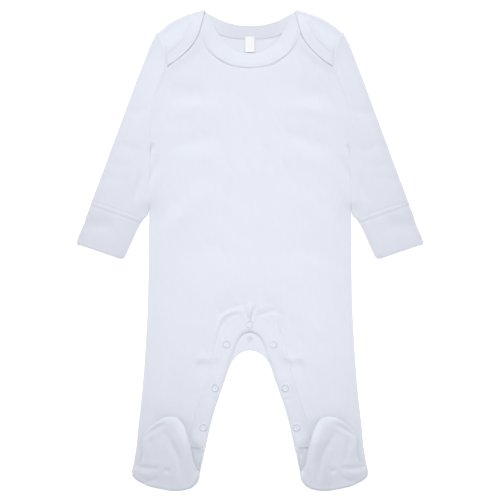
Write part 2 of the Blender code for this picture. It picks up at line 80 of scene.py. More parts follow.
room = bpy.data.worlds.new("white_room")
room.use_nodes = True
room.node_tree.nodes["Background"].inputs["Color"].default_value = ROOM_TINT
room.node_tree.nodes["Background"].inputs["Strength"].default_value = ROOM_LIGHT
bpy.context.scene.world = room
bpy.context.scene.view_settings.view_transform = "Standard"

soft_box = bpy.data.lights.new("soft_box", "AREA")
soft_box.shape = "RECTANGLE"
soft_box.size, soft_box.size_y = BOX_SIZE
soft_box.spread = BOX_SPREAD
soft_box.energy = BOX_POWER
lamp = bpy.data.objects.new("soft_box", soft_box)
beam = Vector((BOX_TURN, -np.sin(BOX_TILT), -np.cos(BOX_TILT))).normalized()
lamp.location = Vector(BOX_AIM) - beam * BOX_DISTANCE
lamp.rotation_euler = beam.to_track_quat("-Z", "Y").to_euler()
bpy.context.collection.objects.link(lamp)

camera_data = bpy.data.cameras.new("camera")
camera_data.lens = CAMERA_LENS
camera_data.sensor_width = SEEN_WIDTH * CAMERA_LENS / (CAMERA_HEIGHT - SEEN_LEVEL)
camera = bpy.data.objects.new("camera", camera_data)
camera.location = (0.0, 0.0, CAMERA_HEIGHT)
bpy.context.collection.objects.link(camera)
bpy.context.scene.camera = camera

# ---- Back panel -------------------------------------------------------------------------------
# One piece of cotton interlock from both heels to the neck. Its shoulder ends are cut long, are
# carried over the shoulder fold and lie on the front as lap shoulders. Sizes from here on are in
# millimetres. The tables of outlines hold the wearer's left half, at +X.
MM = 0.001
CLOTH = 1.2                   # thickness of the knit
LAYER_GAP = 0.6               # between a piece and the sheet that it lies on
EDGE_LOFT = 0.3               # space between front and back at a side seam or a fold
LOFT = 3.3                    # what that space grows by away from the seams
LOFT_REACH = 23.0
NECK_REACH = (-10.0, 24.0)    # distance from the neck over which that space grows
CROTCH_REACH = (22.0, 62.0)   # the same for the crotch, whose edge itself stands up a little
CROTCH_SHARE = 0.2            # share of the growth that it has there already
NOTCH = 41.0                  # Y up to which the sleeve stands off the body
FOOT_FLAT = (-186.0, -222.0)  # Y over which the leg flattens under the foot
FOOT_FLATNESS = 0.62
ANKLE_CURL = 3.2              # how far the back's edge curls up beside the foot
CURL_WIDTH = 3.0
CURL_START = (-269.0, -256.0)     # Y over which the curl grows
CURL_END = (-238.0, -248.0)       # Y over which it fades again
GRID = 2.4                    # width of the cloth's facets
BACK_WIDTH = 122.0            # width that a full row of them takes
NARROWEST = 0.02              # least width of a section
LINE_STEPS = 16               # points of a line for each gap of its table
CREASE_STEPS = 4              # the same for a crease
EDGE_STEPS = 5                # facets round the edge of a piece
EDGE_SHARE = 0.4              # share of a narrow section that one rounded edge may take
FOLD_STEPS = 10               # facets round a folded edge
WAVES = 14                    # sine waves in the unevenness of the cloth
WAVE_LENGTHS = (0.6, 1.8)     # their lengths, as shares of the mean one
WAVE_STRETCH = 0.6            # their frequency along the suit, as a share of that across it
SPARSE = 4                    # a distance is measured to every fourth point of a long line
CROTCH_FROM = 2               # gap of the leg's table where the crotch's edge starts
INNER_LEG_GAPS = 4            # its gaps along which the inner leg is closed
CUFF_SIDE_GAPS = 3            # gaps of the cuff's table down its sides
SAME_POINT = 2e-6             # metres within which points become one
NO_LENGTH = 1e-7              # length in metres of an edge that is dropped

# Each kind of edge: the width over which the cloth rounds off to it, and how deep the edge lies,
# in walls under the outer face.
SIDE_ROUND = 2.3
FLAT_ROUND = 1.1
SIDE_SEAM = (SIDE_ROUND, 1.125)
FLAT_SEAM = (FLAT_ROUND, 0.5)
UNDER_BAND = (0.3, 1.0)       # where the back neck's band is sewn on
LAP_SEAM = (0.5, 0.15)        # where the same band is sewn to a lap
LAP_END_SEAM = (0.6, 0.3)

# Armhole seam, from the underarm to the shoulder fold.
ARMHOLE = ((118.8, 122.4), (119.2, 150.0), (114.6, 178.0), (105.2, 204.0),
           (99.7, 220.5), (99.7, 235.5), (103.4, 248.5), (108.7, 259.6))
CHEST_GAPS = 3                # gaps of the armhole that lie beside the chest
LAP_END = 5.32                # place on the armhole where the lap ends
SHOULDER_BULGE = 2.6
LAP_EASE = 8.0
BACK_NECK = (("seam", "edge"),
             ((0.0, 253.8), (0.0, 269.3)),
             ((18.0, 254.6), (14.0, 270.2)),
             ((36.0, 259.0), (28.5, 273.8)),
             ((54.0, 269.5), (42.0, 280.0)),
             ((69.9, 282.3), (54.2, 286.6)))
LAP = (("seam", "edge"),
       ((69.9, 282.3), (54.2, 286.6)),
       ((73.6, 273.5), (57.4, 272.5)),
       ((78.0, 263.5), (61.2, 258.0)),
       ((84.0, 254.8), (68.2, 246.0)),
       ((89.6, 248.6), (77.5, 235.8)),
       ((94.4, 243.8), (88.0, 226.8)),
       ((100.3, 239.2), (99.0, 220.0)))
HEEL = (("side", "inner"),
        ((96.0, -289.2), (84.0, -289.4)),
        ((118.0, -284.4), (73.5, -287.2)),
        ((132.5, -278.6), (66.0, -282.6)),
        ((140.2, -272.6), (62.2, -276.4)),
        ((141.8, -267.4), (60.4, -270.0)),
        ((141.2, -263.4), (59.2, -263.4)))
ANKLE = (("side", "inner"),
         ((141.2, -263.4), (59.2, -263.4)),
         ((138.6, -250.0), (56.2, -250.0)),
         ((136.3, -236.6), (53.2, -236.6)))
LEG = (("side", "front seam", "front edge", "back seam", "back edge"),
       ((136.2, -235.8), (75.4, -235.8), (53.0, -235.8), (75.4, -235.8), (53.0, -235.8)),
       ((134.2, -215.0), (70.0, -213.0), (48.7, -215.5), (70.6, -214.0), (49.1, -217.5)),
       ((131.8, -192.0), (62.8, -188.0), (42.9, -193.5), (63.6, -190.0), (44.1, -197.5)),
       ((129.0, -166.5), (53.2, -158.5), (34.5, -168.5), (54.5, -163.5), (36.5, -174.0)),
       ((127.0, -143.0), (45.0, -128.5), (27.2, -145.5), (47.5, -148.0), (30.2, -156.6)),
       ((125.8, -124.0), (40.2, -108.0), (22.4, -131.0), (42.0, -132.5), (26.6, -145.6)),
       ((124.8, -106.0), (34.5, -93.0), (18.4, -119.6), (35.5, -119.5), (23.0, -136.4)),
       ((123.8, -90.0), (25.5, -82.5), (13.8, -108.6), (26.0, -108.6), (17.0, -128.0)),
       ((123.0, -76.0), (13.0, -76.2), (8.0, -101.6), (13.5, -101.8), (8.6, -122.3)),
       ((122.6, -62.0), (0.0, -74.4), (0.0, -98.4), (0.0, -99.5), (0.0, -120.4)))
TORSO = (("side", "front center", "back center"),
         ((122.6, -62.0), (0.0, -74.4), (0.0, -99.5)),
         ((122.0, -34.0), (0.0, -38.0), (0.0, -54.0)),
         ((121.6, -6.0), (0.0, -2.0), (0.0, -10.0)),
         ((121.3, 24.0), (0.0, 32.0), (0.0, 30.0)),
         ((121.0, 56.0), (0.0, 64.0), (0.0, 66.0)),
         ((120.2, 90.0), (0.0, 94.0), (0.0, 100.0)),
         ((118.8, 122.4), (0.0, 124.0), (0.0, 132.0)))
SLEEVE_TOP = ((109.4, 260.4), (116.4, 248.8), (122.6, 234.8), (128.0, 220.6),
              (134.6, 204.0), (144.4, 177.4), (154.8, 149.4), (165.2, 121.4))
SLEEVE = (("outer", "inner"),
          ((165.2, 121.4), (118.8, 122.0)),
          ((168.4, 112.6), (119.1, 109.5)),
          ((173.6, 98.6), (119.9, 93.0)),
          ((181.0, 78.6), (120.6, 66.0)),
          ((184.6, 69.0), (121.2, 53.0)),
          ((187.1, 62.2), (122.4, 43.0)),
          ((188.8, 57.8), (128.6, 36.4)))
CUFF = (("outer", "inner"),
        ((188.4, 58.9), (127.9, 37.4)),
        ((194.0, 43.8), (135.2, 25.0)),
        ((200.2, 27.2), (142.6, 8.4)),
        ((206.2, 11.4), (149.8, -7.2)),
        ((206.3, 8.0), (152.6, -10.2)),
        ((204.0, 6.2), (155.6, -10.4)))
FRONT_NECK = (("seam", "edge"),
              ((0.0, 217.6), (0.0, 236.0)),
              ((24.0, 221.6), (17.0, 239.2)),
              ((45.6, 235.2), (31.5, 250.5)),
              ((58.0, 254.5), (41.0, 264.3)),
              ((67.5, 278.5), (50.5, 283.5)))
# Creases pressed into the back from underneath. A crease's depth is negative for a ridge.
BACK_CREASES = (("line", "depth", "half width"),
                (((-96, 96), (-60, 84), (-30, 88)), 0.5, 6.0),
                (((101, 60), (70, 44), (44, 50)), 0.45, 5.0),
                (((-40, 205), (-8, 196), (30, 200)), 0.4, 6.0),
                (((-84, -40), (-52, -64), (-40, -96)), 0.6, 5.0),
                (((80, -52), (50, -70), (34, -104)), 0.5, 6.0),
                (((-92, -150), (-80, -196), (-84, -236)), 0.5, 5.0),
                (((96, -140), (84, -180), (90, -226)), 0.6, 6.0),
                (((108, 20), (92, -10), (90, -50)), 0.35, 6.0))


def smooth(rows, steps=LINE_STEPS):
    """Catmull-Rom curve through the rows of a table: between two rows it is the cubic that leaves
    and arrives along the lines that join each row's neighbours."""
    rows = np.asarray(rows, float)
    start, end = rows[:-1], rows[1:]
    after = np.vstack([rows[2:], 2 * rows[-1] - rows[-2]])
    before = np.vstack([2 * rows[0] - rows[1], rows[:-2]])
    t = np.arange(steps)[None, :, None] / steps
    start, end, after, before = (side[:, None] for side in (start, end, after, before))
    curve = 0.5 * (2 * start + (end - before) * t
                   + (2 * before - 5 * start + 4 * end - after) * t ** 2
                   + (3 * start - before - 3 * end + after) * t ** 3)
    return np.vstack([curve.reshape(-1, rows.shape[1]), rows[-1:]])


def lines_of(table):
    """The smooth lines that run down a table's columns, by the names in its first row."""
    rows = np.asarray(table[1:], float)
    curve = smooth(rows.reshape(len(rows), -1))
    return dict(zip(table[0], curve.reshape(len(curve), -1, 2).swapaxes(0, 1)))


def travelled(line):
    """Distance along a line from its first point to each of its points."""
    return np.concatenate([[0.0], np.cumsum(np.linalg.norm(np.diff(line, axis=0), axis=1))])


def at_places(line, places):
    """Points of a line at places counted in its own points."""
    order = np.arange(len(line))
    return np.stack([np.interp(places, order, line[:, axis])
                     for axis in range(line.shape[1])], axis=1)


def nearest(line, points):
    """Distance from each point to a line of straight pieces, and the share of the line's length
    at which the nearest point of it lies. The foot of the perpendicular is kept on each piece."""
    start, run = line[:-1], np.diff(line, axis=0)
    length = np.maximum((run ** 2).sum(-1), 1e-12)
    flat = points.reshape(-1, points.shape[-1])
    offset = flat[:, None, :] - start
    share = np.clip((offset * run).sum(-1) / length, 0.0, 1.0)
    away = ((offset - share[..., None] * run) ** 2).sum(-1)
    best = away.argmin(axis=1)
    every = np.arange(len(flat))
    steps = np.sqrt(length)
    before = np.concatenate([[0.0], np.cumsum(steps)])
    along = (before[best] + share[every, best] * steps[best]) / before[-1]
    shape = points.shape[:-1]
    return np.sqrt(away[every, best]).reshape(shape), along.reshape(shape)


def ease(value, low, high):
    """0 up to low, 1 from high, with the cubic step 3t^2 - 2t^3 between them."""
    t = np.clip((value - low) / (high - low), 0.0, 1.0)
    return t * t * (3.0 - 2.0 * t)


def bell(away, half_width):
    """Bell curve: 1 at 0, and 1/e at the half width."""
    return np.exp(-(away / half_width) ** 2)


def creased(points, table):
    """How far a table's creases lower a sheet: a bell across each line, fading to its ends."""
    drop = np.zeros(points.shape[:-1])
    for line, depth, width in table[1:]:
        away, share = nearest(smooth(line, CREASE_STEPS), points[..., :2])
        drop += depth * bell(away, width) * (1.0 - np.abs(2.0 * share - 1.0) ** 3)
    return drop


def unevenness(points, height, length, seed):
    """The soft unevenness of laid cloth: the sum of sine waves that run every way, each of its
    own length and phase, scaled to a height that is its root mean square."""
    dice = np.random.default_rng(seed)
    angle = dice.uniform(0.0, np.pi, WAVES)
    wave = 2.0 * np.pi / (length * dice.uniform(*WAVE_LENGTHS, WAVES))
    phase = dice.uniform(0.0, 2.0 * np.pi, WAVES)
    way = np.stack([np.cos(angle), WAVE_STRETCH * np.sin(angle)]) * wave
    return height * np.sin(points[..., :2] @ way + phase).sum(-1) / np.sqrt(WAVES / 2)


def stations(length, spacing, first=0.0, last=0.0, fine=(0.0, 1.0)):
    """Distances from 0 to a length: evenly spaced, but over the radius of a rounded end they
    close up as radius times 1 - cos, so that the facets round it are equally long. The reach and
    the spacing in fine are for a stretch before the last end."""
    turn = 1.0 - np.cos(np.linspace(0.0, np.pi / 2, EDGE_STEPS + 1))
    start = first * turn if first else np.zeros(1)
    end = length - (last * turn if last else np.zeros(1))[::-1]
    middle = max(start[-1] + spacing, end[0] - fine[0])
    count = max(2, int(round((middle - start[-1]) / spacing)))
    closer = int(round((end[0] - middle) / fine[1]))
    return np.concatenate([start, np.linspace(start[-1], middle, count + 1)[1:-1],
                           np.linspace(middle, end[0], closer + 1)[:-1], end])


def sections(stretches, spacing=GRID, start=0.0, finish=0.0):
    """Pairs of points on two lines, at even distances along the line midway between them.
    The stretches are pairs of lines that follow each other, some with a spacing of their own,
    and each one's ends are kept."""
    rows = []
    for place, (first, last, *own) in enumerate(stretches):
        run = travelled((first + last) / 2)
        at = stations(run[-1], own[0] if own else spacing, start if place == 0 else 0.0,
                      finish if place == len(stretches) - 1 else 0.0)
        index = np.interp(at, run, np.arange(len(run)))
        pairs = np.stack([at_places(first, index), at_places(last, index)], axis=1)
        if rows and np.allclose(rows[-1][-1], pairs[0]):
            pairs = pairs[1:]
        rows.append(pairs)
    return np.concatenate(rows)


def across(pairs, spacing=GRID, first=0.0, last=0.0, widest=None, fine=(0.0, 1.0)):
    """Points on the straight line between each pair. The stations of the widest section, or of a
    given width, are drawn together in the narrower ones, but their rounded ends keep their size
    where they can."""
    width = np.maximum(np.linalg.norm(pairs[:, 1] - pairs[:, 0], axis=1), NARROWEST)
    widest = widest or width.max()
    base = stations(widest, spacing, first, last, fine)
    starts = EDGE_STEPS + 1 if first else 1
    ends = EDGE_STEPS + 1 if last else 1
    room = np.minimum(1.0, EDGE_SHARE * width / max(first, last, NARROWEST))[:, None]
    start = base[:starts] * room
    end = width[:, None] - (widest - base[-ends:]) * room
    inner = base[starts - 1:len(base) - ends + 1]
    share = (inner - inner[0]) / (inner[-1] - inner[0])
    middle = start[:, -1:] + share * (end[:, :1] - start[:, -1:])
    place = (np.hstack([start, middle[:, 1:-1], end]) / width[:, None])[..., None]
    return pairs[:, :1] * (1.0 - place) + pairs[:, 1:] * place


def on_left(points):
    """Points in plan, those on the wearer's right carried over to the left half."""
    return np.stack([np.abs(points[..., 0]), points[..., 1]], axis=-1)


def raised(plan, height):
    """Points in plan with their heights."""
    return np.concatenate([plan, np.broadcast_to(height, plan.shape[:-1])[..., None]], axis=-1)


def wall(outer, facing, edges, thickness=CLOTH):
    """The outer and inner face of a sheet. The inner face lies a wall's thickness in along the
    normal. A corner takes the normal of the point diagonally inside it, and a point on the suit's
    middle line the one that stands on that line alone, so that both halves meet there. Each edge
    is a line with its radius and its depth in walls under the outer face. There, the two faces
    come together along quarters of an ellipse."""
    down, over = np.gradient(outer, axis=(0, 1))
    normal = np.cross(down, over) * facing
    normal /= np.maximum(np.linalg.norm(normal, axis=-1, keepdims=True), 1e-9)
    normal[np.ix_((0, -1), (0, -1))] = normal[np.ix_((1, -2), (1, -2))]
    middle = np.abs(outer[..., 0]) < 1e-6
    if middle.any():
        run = np.gradient(outer[middle], axis=0)
        upright = np.stack([0.0 * run[:, 0], -run[:, 2], run[:, 1]], axis=1)
        upright *= np.sign(upright[:, 2:] * normal[middle][:, 2:])
        normal[middle] = upright / np.linalg.norm(upright, axis=1, keepdims=True)
    full = np.ones(outer.shape[:2])
    weight = np.full(outer.shape[:2], 1e-9)
    depth = np.zeros(outer.shape[:2])
    for line, radius, level in edges:
        inside = np.clip(nearest(line, outer)[0] / radius, 0.0, 1.0)
        part = np.sqrt(np.maximum(1.0 - (1.0 - inside) ** 2, 0.0))
        full *= part
        weight += 1.0 - part
        depth += (1.0 - part) * level
    depth /= weight
    outside = thickness * depth * (1.0 - full)
    inside = thickness * (depth + (1.0 - depth) * full)
    return outer - normal * outside[..., None], outer - normal * inside[..., None]


def both_sides(outer, facing):
    """The wearer's left half of a sheet and its mirror image, with the way that each faces."""
    return ((outer, facing), (outer * (-1.0, 1.0, 1.0), -facing))


def make_piece(name, patches, finish):
    """A mesh from patches, each a grid of points, a grid of cloth coordinates and 1 or -1 for the
    way it faces. Points that patches share become one, and the faces are turned outwards."""
    points = np.concatenate([patch.reshape(-1, 3) for patch, _, _ in patches]) * MM
    cloth = np.concatenate([place.reshape(-1, 2) for _, place, _ in patches]) * MM
    faces, first = [], 0
    for patch, _, facing in patches:
        rows, columns = patch.shape[:2]
        corner = first + np.arange(rows * columns).reshape(rows, columns)
        quads = np.stack([corner[:-1, :-1], corner[1:, :-1], corner[1:, 1:], corner[:-1, 1:]], -1)
        faces.append(quads.reshape(-1, 4)[:, ::int(facing)])
        first += rows * columns
    faces = np.concatenate(faces)
    mesh = bpy.data.meshes.new(name)
    mesh.from_pydata(points.tolist(), [], faces.tolist())
    layer = mesh.uv_layers.new(name="cloth")
    layer.data.foreach_set("uv", cloth[faces.ravel()].ravel())
    form = bmesh.new()
    form.from_mesh(mesh)
    bmesh.ops.remove_doubles(form, verts=form.verts, dist=SAME_POINT)
    bmesh.ops.dissolve_degenerate(form, edges=form.edges, dist=NO_LENGTH)
    if form.calc_volume(signed=True) < 0:
        bmesh.ops.reverse_faces(form, faces=form.faces)
    form.to_mesh(mesh)
    form.free()
    mesh.shade_smooth()
    mesh.materials.append(finish)
    piece = bpy.data.objects.new(name, mesh)
    bpy.context.collection.objects.link(piece)
    return piece


def sheet_of(name, sheets, finish, thickness=CLOTH):
    """A piece of cloth from its sheets: outer face, facing, edges and cloth coordinates."""
    patches = []
    for outer, facing, edges, place in sheets:
        top, under = wall(outer, facing, edges, thickness)
        patches += [(top, place, facing), (under, place, -facing)]
    return make_piece(name, patches, finish)


class Shade:
    """A socket of a material. Sums, products, powers and remainders of shades add the Math nodes
    for them, and node() adds any other node."""

    def __init__(self, tree, socket=None):
        self.tree = tree
        self.socket = socket

    def node(self, kind, settings=None, values=None, out=0):
        """A new node: first its settings, then the value or the link of each socket."""
        made = self.tree.nodes.new("ShaderNode" + kind)
        for name, setting in (settings or {}).items():
            setattr(made, name, setting)
        for name, value in (values or {}).items():
            if isinstance(value, Shade):
                self.tree.links.new(value.socket, made.inputs[name])
            else:
                made.inputs[name].default_value = value
        return Shade(self.tree, made.outputs[out])

    def maths(self, operation, *values):
        """A Math node on values and shades."""
        return self.node("Math", {"operation": operation}, dict(enumerate(values)))

    def forward(operation):
        """An operator's method, with this shade first."""
        return lambda self, *other: self.maths(operation, self, *other)

    def reflected(operation):
        """The same with this shade last."""
        return lambda self, other: self.maths(operation, other, self)

    __add__, __radd__ = forward("ADD"), reflected("ADD")
    __sub__, __rsub__ = forward("SUBTRACT"), reflected("SUBTRACT")
    __mul__, __rmul__ = forward("MULTIPLY"), reflected("MULTIPLY")
    __truediv__, __mod__, __abs__ = forward("DIVIDE"), forward("FLOORED_MODULO"), forward("ABSOLUTE")


def new_finish(name):
    """A new material, its nodes and its cloth coordinates."""
    material = bpy.data.materials.new(name)
    material.use_nodes = True
    place = Shade(material.node_tree).node("UVMap", {"uv_map": "cloth"})
    return material, material.node_tree, place


def noise(place, scale, detail, roughness=0.6):
    """Noise from 0 to 1 over coordinates. The scale is its cells for each unit of them."""
    return place.node("TexNoise", {"noise_dimensions": "2D"},
                      {"Vector": place, "Scale": scale, "Detail": detail,
                       "Roughness": roughness})


STREAKS = (260.0, 34.0)       # noise cells a metre across the wales and along them
STREAK_NOISE = (1.0, 3.0, 0.55)     # cells in each of those, detail and roughness
CLOUDS = (55.0, 4.0)          # cells a metre, and detail
FUZZ = (900.0, 2.0)
LOOP_LEAN = 1.2               # how far the loops lean to the wale's middle
LOOP_DEPTH = 0.45
PAINTED_LOOP_SHADE = 0.8               # share of the grain by which the valleys between the loops are painted darker: painted shade
FUZZ_SHARE = 0.3              # height of the fuzz against the loops
SWELL = 0.35                  # how high the streaks and clouds stand


def knit(name, color, wale=0.95, course=0.8, relief=0.09, grain_and_shade=0.02):
    """Interlock knit. Across a wale, its two legs are each a parabola, highest a quarter of the wale
    from its middle. Along it, every loop is another parabola that leans to the middle, which makes
    the V. The valleys between the loops are painted a little darker, as painted shade, and slow
    streaks of random tone run along the wales."""
    material, tree, place = new_finish(name)
    parts = place.node("SeparateXYZ", values={"Vector": place}).socket.node.outputs
    over, along = Shade(tree, parts["X"]), Shade(tree, parts["Y"])
    aside = abs((over / (wale * MM)) % 1.0 - 0.5)
    leg = (aside - 0.25) * 4.0
    loop = abs((along / (course * MM) + aside * LOOP_LEAN) % 1.0 - 0.5) * 2.0
    stitch = (1.0 - leg * leg) * (1.0 - loop * loop * LOOP_DEPTH)
    stretched = place.node("CombineXYZ",
                           values={"X": over * STREAKS[0], "Y": along * STREAKS[1]})
    streak = noise(stretched, *STREAK_NOISE)
    cloud = noise(place, *CLOUDS)
    fuzz = noise(place, *FUZZ)
    # The tone is random streaks and clouds, plus painted shade: the valleys between the loops are
    # painted darker.
    tone_and_shade = (1.0 - grain_and_shade + stitch * grain_and_shade * PAINTED_LOOP_SHADE + (streak - 0.5) * grain_and_shade
            + (cloud - 0.5) * grain_and_shade)
    tinted = place.node("VectorMath", {"operation": "SCALE"}, {0: color, "Scale": tone_and_shade})
    swell = place.node("Bump", values={"Height": streak + cloud, "Strength": 0.35,
                                       "Distance": SWELL * MM})
    loops = place.node("Bump", values={"Height": stitch + fuzz * FUZZ_SHARE, "Strength": 0.5,
                                       "Distance": relief * MM, "Normal": swell})
    shader = tree.nodes["Principled BSDF"].inputs
    tree.links.new(tinted.socket, shader["Base Color"])
    tree.links.new(loops.socket, shader["Normal"])
    shader["Roughness"].default_value = 0.92
    shader["Specular IOR Level"].default_value = 0.2
    shader["Sheen Weight"].default_value = 0.18
    shader["Sheen Roughness"].default_value = 0.5
    return material


def loft(points):
    """Space between the back and the sheet over it: least at the seams, the folds, the neck and
    the crotch, and grown in full at a set distance from them. Under the foot it is flatter."""
    half = on_left(points)
    away = np.min([nearest(line, half)[0] for line in CLOSED_EDGES], axis=0)
    flat = 1.0 - FOOT_FLATNESS * ease(points[..., 1], *FOOT_FLAT)
    neck = ease(nearest(neck_edge, half)[0], *NECK_REACH)
    grown = ease(nearest(crotch_edge, half)[0], *CROTCH_REACH)
    crotch = CROTCH_SHARE + (1.0 - CROTCH_SHARE) * grown
    return EDGE_LOFT + LOFT * flat * neck * crotch * ease(away, 0.0, LOFT_REACH)


heel, ankle, leg, torso, back_neck, lap = (
    lines_of(table) for table in (HEEL, ANKLE, LEG, TORSO, BACK_NECK, LAP))
sleeve_lines, cuff_lines = lines_of(SLEEVE), lines_of(CUFF)
armhole = smooth(ARMHOLE)
sleeve_top = smooth(SLEEVE_TOP)
front_neck = lines_of(FRONT_NECK)
neck_edge = front_neck["edge"][::SPARSE]
crotch_edge = leg["front edge"][CROTCH_FROM * LINE_STEPS::SPARSE]
# The seams and folds where the back meets the sheet over it.
CLOSED_EDGES = tuple(line[::SPARSE] for line in (
    np.repeat(np.array([ARMHOLE[-1], LAP[1][0], LAP[1][1]]), SPARSE, axis=0),
    np.vstack([heel["side"], leg["side"], torso["side"][torso["side"][:, 1] < NOTCH]]),
    np.vstack([ankle["inner"], leg["front edge"][:INNER_LEG_GAPS * LINE_STEPS + 1]]),
    np.vstack([sleeve_top, sleeve_lines["outer"],
               cuff_lines["outer"][:CUFF_SIDE_GAPS * LINE_STEPS + 1]]),
    np.vstack([sleeve_lines["inner"][sleeve_lines["inner"][:, 1] < NOTCH],
               cuff_lines["inner"][:CUFF_SIDE_GAPS * LINE_STEPS + 1]])))


def lap_top(points):
    """Height of the upper face of what lies on the front at the shoulders."""
    return 3.0 * CLOTH + LAYER_GAP + loft(points)


LAP_HEIGHT = 3.0 * CLOTH + LAYER_GAP + EDGE_LOFT
FOLD_RADIUS = LAP_HEIGHT / 2.0


def lap_height(plan, fold):
    """Height of a lap's upper face: the fold's own height at the fold, then the layers'."""
    share = ease(nearest(fold, plan)[0], 0.0, LAP_EASE)
    return LAP_HEIGHT + (lap_top(plan) - LAP_HEIGHT) * share


def away_from(first, last):
    """Unit direction in plan square to a fold between two points, towards +Y."""
    run = (last - first) / np.linalg.norm(last - first)
    return np.array([-run[1], run[0]]) * np.sign(run[0])


def turned_over(row, outward):
    """Sections round a folded edge: a half circle from the table up to the fold's height."""
    angle = (np.arange(1, FOLD_STEPS) * np.pi / FOLD_STEPS)[:, None]
    plan = row[None] + outward * (FOLD_RADIUS * np.sin(angle))[..., None]
    return raised(plan, FOLD_RADIUS * (1.0 - np.cos(angle)))


def over_shoulder(back, fold, front):
    """A sheet's lower face, its fold and its lap in one grid, and its cloth coordinates: X, and
    Y as far as the fold, and from there the distance over it."""
    points = np.concatenate([raised(back, 0.0), turned_over(fold, away_from(fold[0], fold[-1])),
                             raised(front, lap_height(front, fold))])
    turn = len(back) - 1
    steps = np.linalg.norm(np.diff(points[turn:], axis=0), axis=-1)
    place = points[..., :2].copy()
    place[turn + 1:, :, 1] = place[turn, :, 1] + np.cumsum(steps, axis=0)
    return points, place


chest_rows = CHEST_GAPS * LINE_STEPS
chest_center = np.linspace(torso["back center"][-1], back_neck["seam"][0], chest_rows + 1)
back_pairs = sections(((heel["side"], heel["inner"]), (ankle["side"], ankle["inner"]),
                       (leg["side"], leg["back seam"]), (torso["side"], torso["back center"]),
                       (armhole[:chest_rows + 1], chest_center),
                       (armhole[chest_rows:], back_neck["seam"])), start=SIDE_ROUND)
back_plan = across(back_pairs, first=SIDE_ROUND, last=FLAT_ROUND, widest=BACK_WIDTH)
fold_row = back_plan[-1].copy()
fold_share = np.linalg.norm(fold_row - fold_row[0], axis=1) / np.linalg.norm(
    fold_row[-1] - fold_row[0])
bow = away_from(fold_row[0], fold_row[-1]) * (
    SHOULDER_BULGE * np.sin(np.pi * fold_share))[:, None]
back_plan[-1] = fold_row + bow
lap_places = np.linspace(len(ARMHOLE) - 1, LAP_END, len(lap["seam"])) * LINE_STEPS
lap_pairs = sections(((at_places(armhole, lap_places), lap["seam"]),), finish=FLAT_ROUND)
lap_plan = across(lap_pairs, first=SIDE_ROUND, last=FLAT_ROUND, widest=BACK_WIDTH)
lap_plan = lap_plan + bow * np.linspace(1.0, 0.0, len(lap_plan))[:, None, None]
back_outer, back_place = over_shoulder(back_plan, back_plan[-1], lap_plan)


def row_at(outer, column, height):
    """The first row whose point in a column reaches a Y."""
    return int(np.argmax(outer[:, column, 1] >= height - 1e-6))


flat_rows = len(back_plan)
lap_row = len(back_outer) - len(lap_plan)
back_sheets = []
for outer, facing in both_sides(back_outer, -1):
    flat = outer[:flat_rows]
    curl = (bell(nearest(ankle["inner"], on_left(flat))[0], CURL_WIDTH)
            * ease(flat[..., 1], *CURL_START) * ease(flat[..., 1], *CURL_END))
    flat[..., 2] += np.maximum(creased(flat, BACK_CREASES), 0.0) + ANKLE_CURL * curl
    crotch_row, neck_row = (row_at(outer, -1, line[0, 1])
                            for line in (torso["back center"], back_neck["seam"]))
    edges = ((outer[0], *SIDE_SEAM),
             (outer[:lap_row + 1, 0], *SIDE_SEAM),
             (outer[lap_row:, 0], *FLAT_SEAM),
             (outer[:crotch_row + 1, -1], *FLAT_SEAM),
             (outer[neck_row:lap_row + 1, -1], *UNDER_BAND),
             (outer[lap_row:, -1], *LAP_SEAM),
             (outer[-1], *LAP_END_SEAM))
    back_sheets.append((outer, facing, edges, back_place * (-facing, 1.0)))

COTTON_WHITE = (0.80, 0.832, 0.892)
cotton = knit("cotton_interlock", COTTON_WHITE)
cloth_back = sheet_of("cloth_back", back_sheets, cotton)
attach(cloth_back, "root")
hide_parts("back_panel")

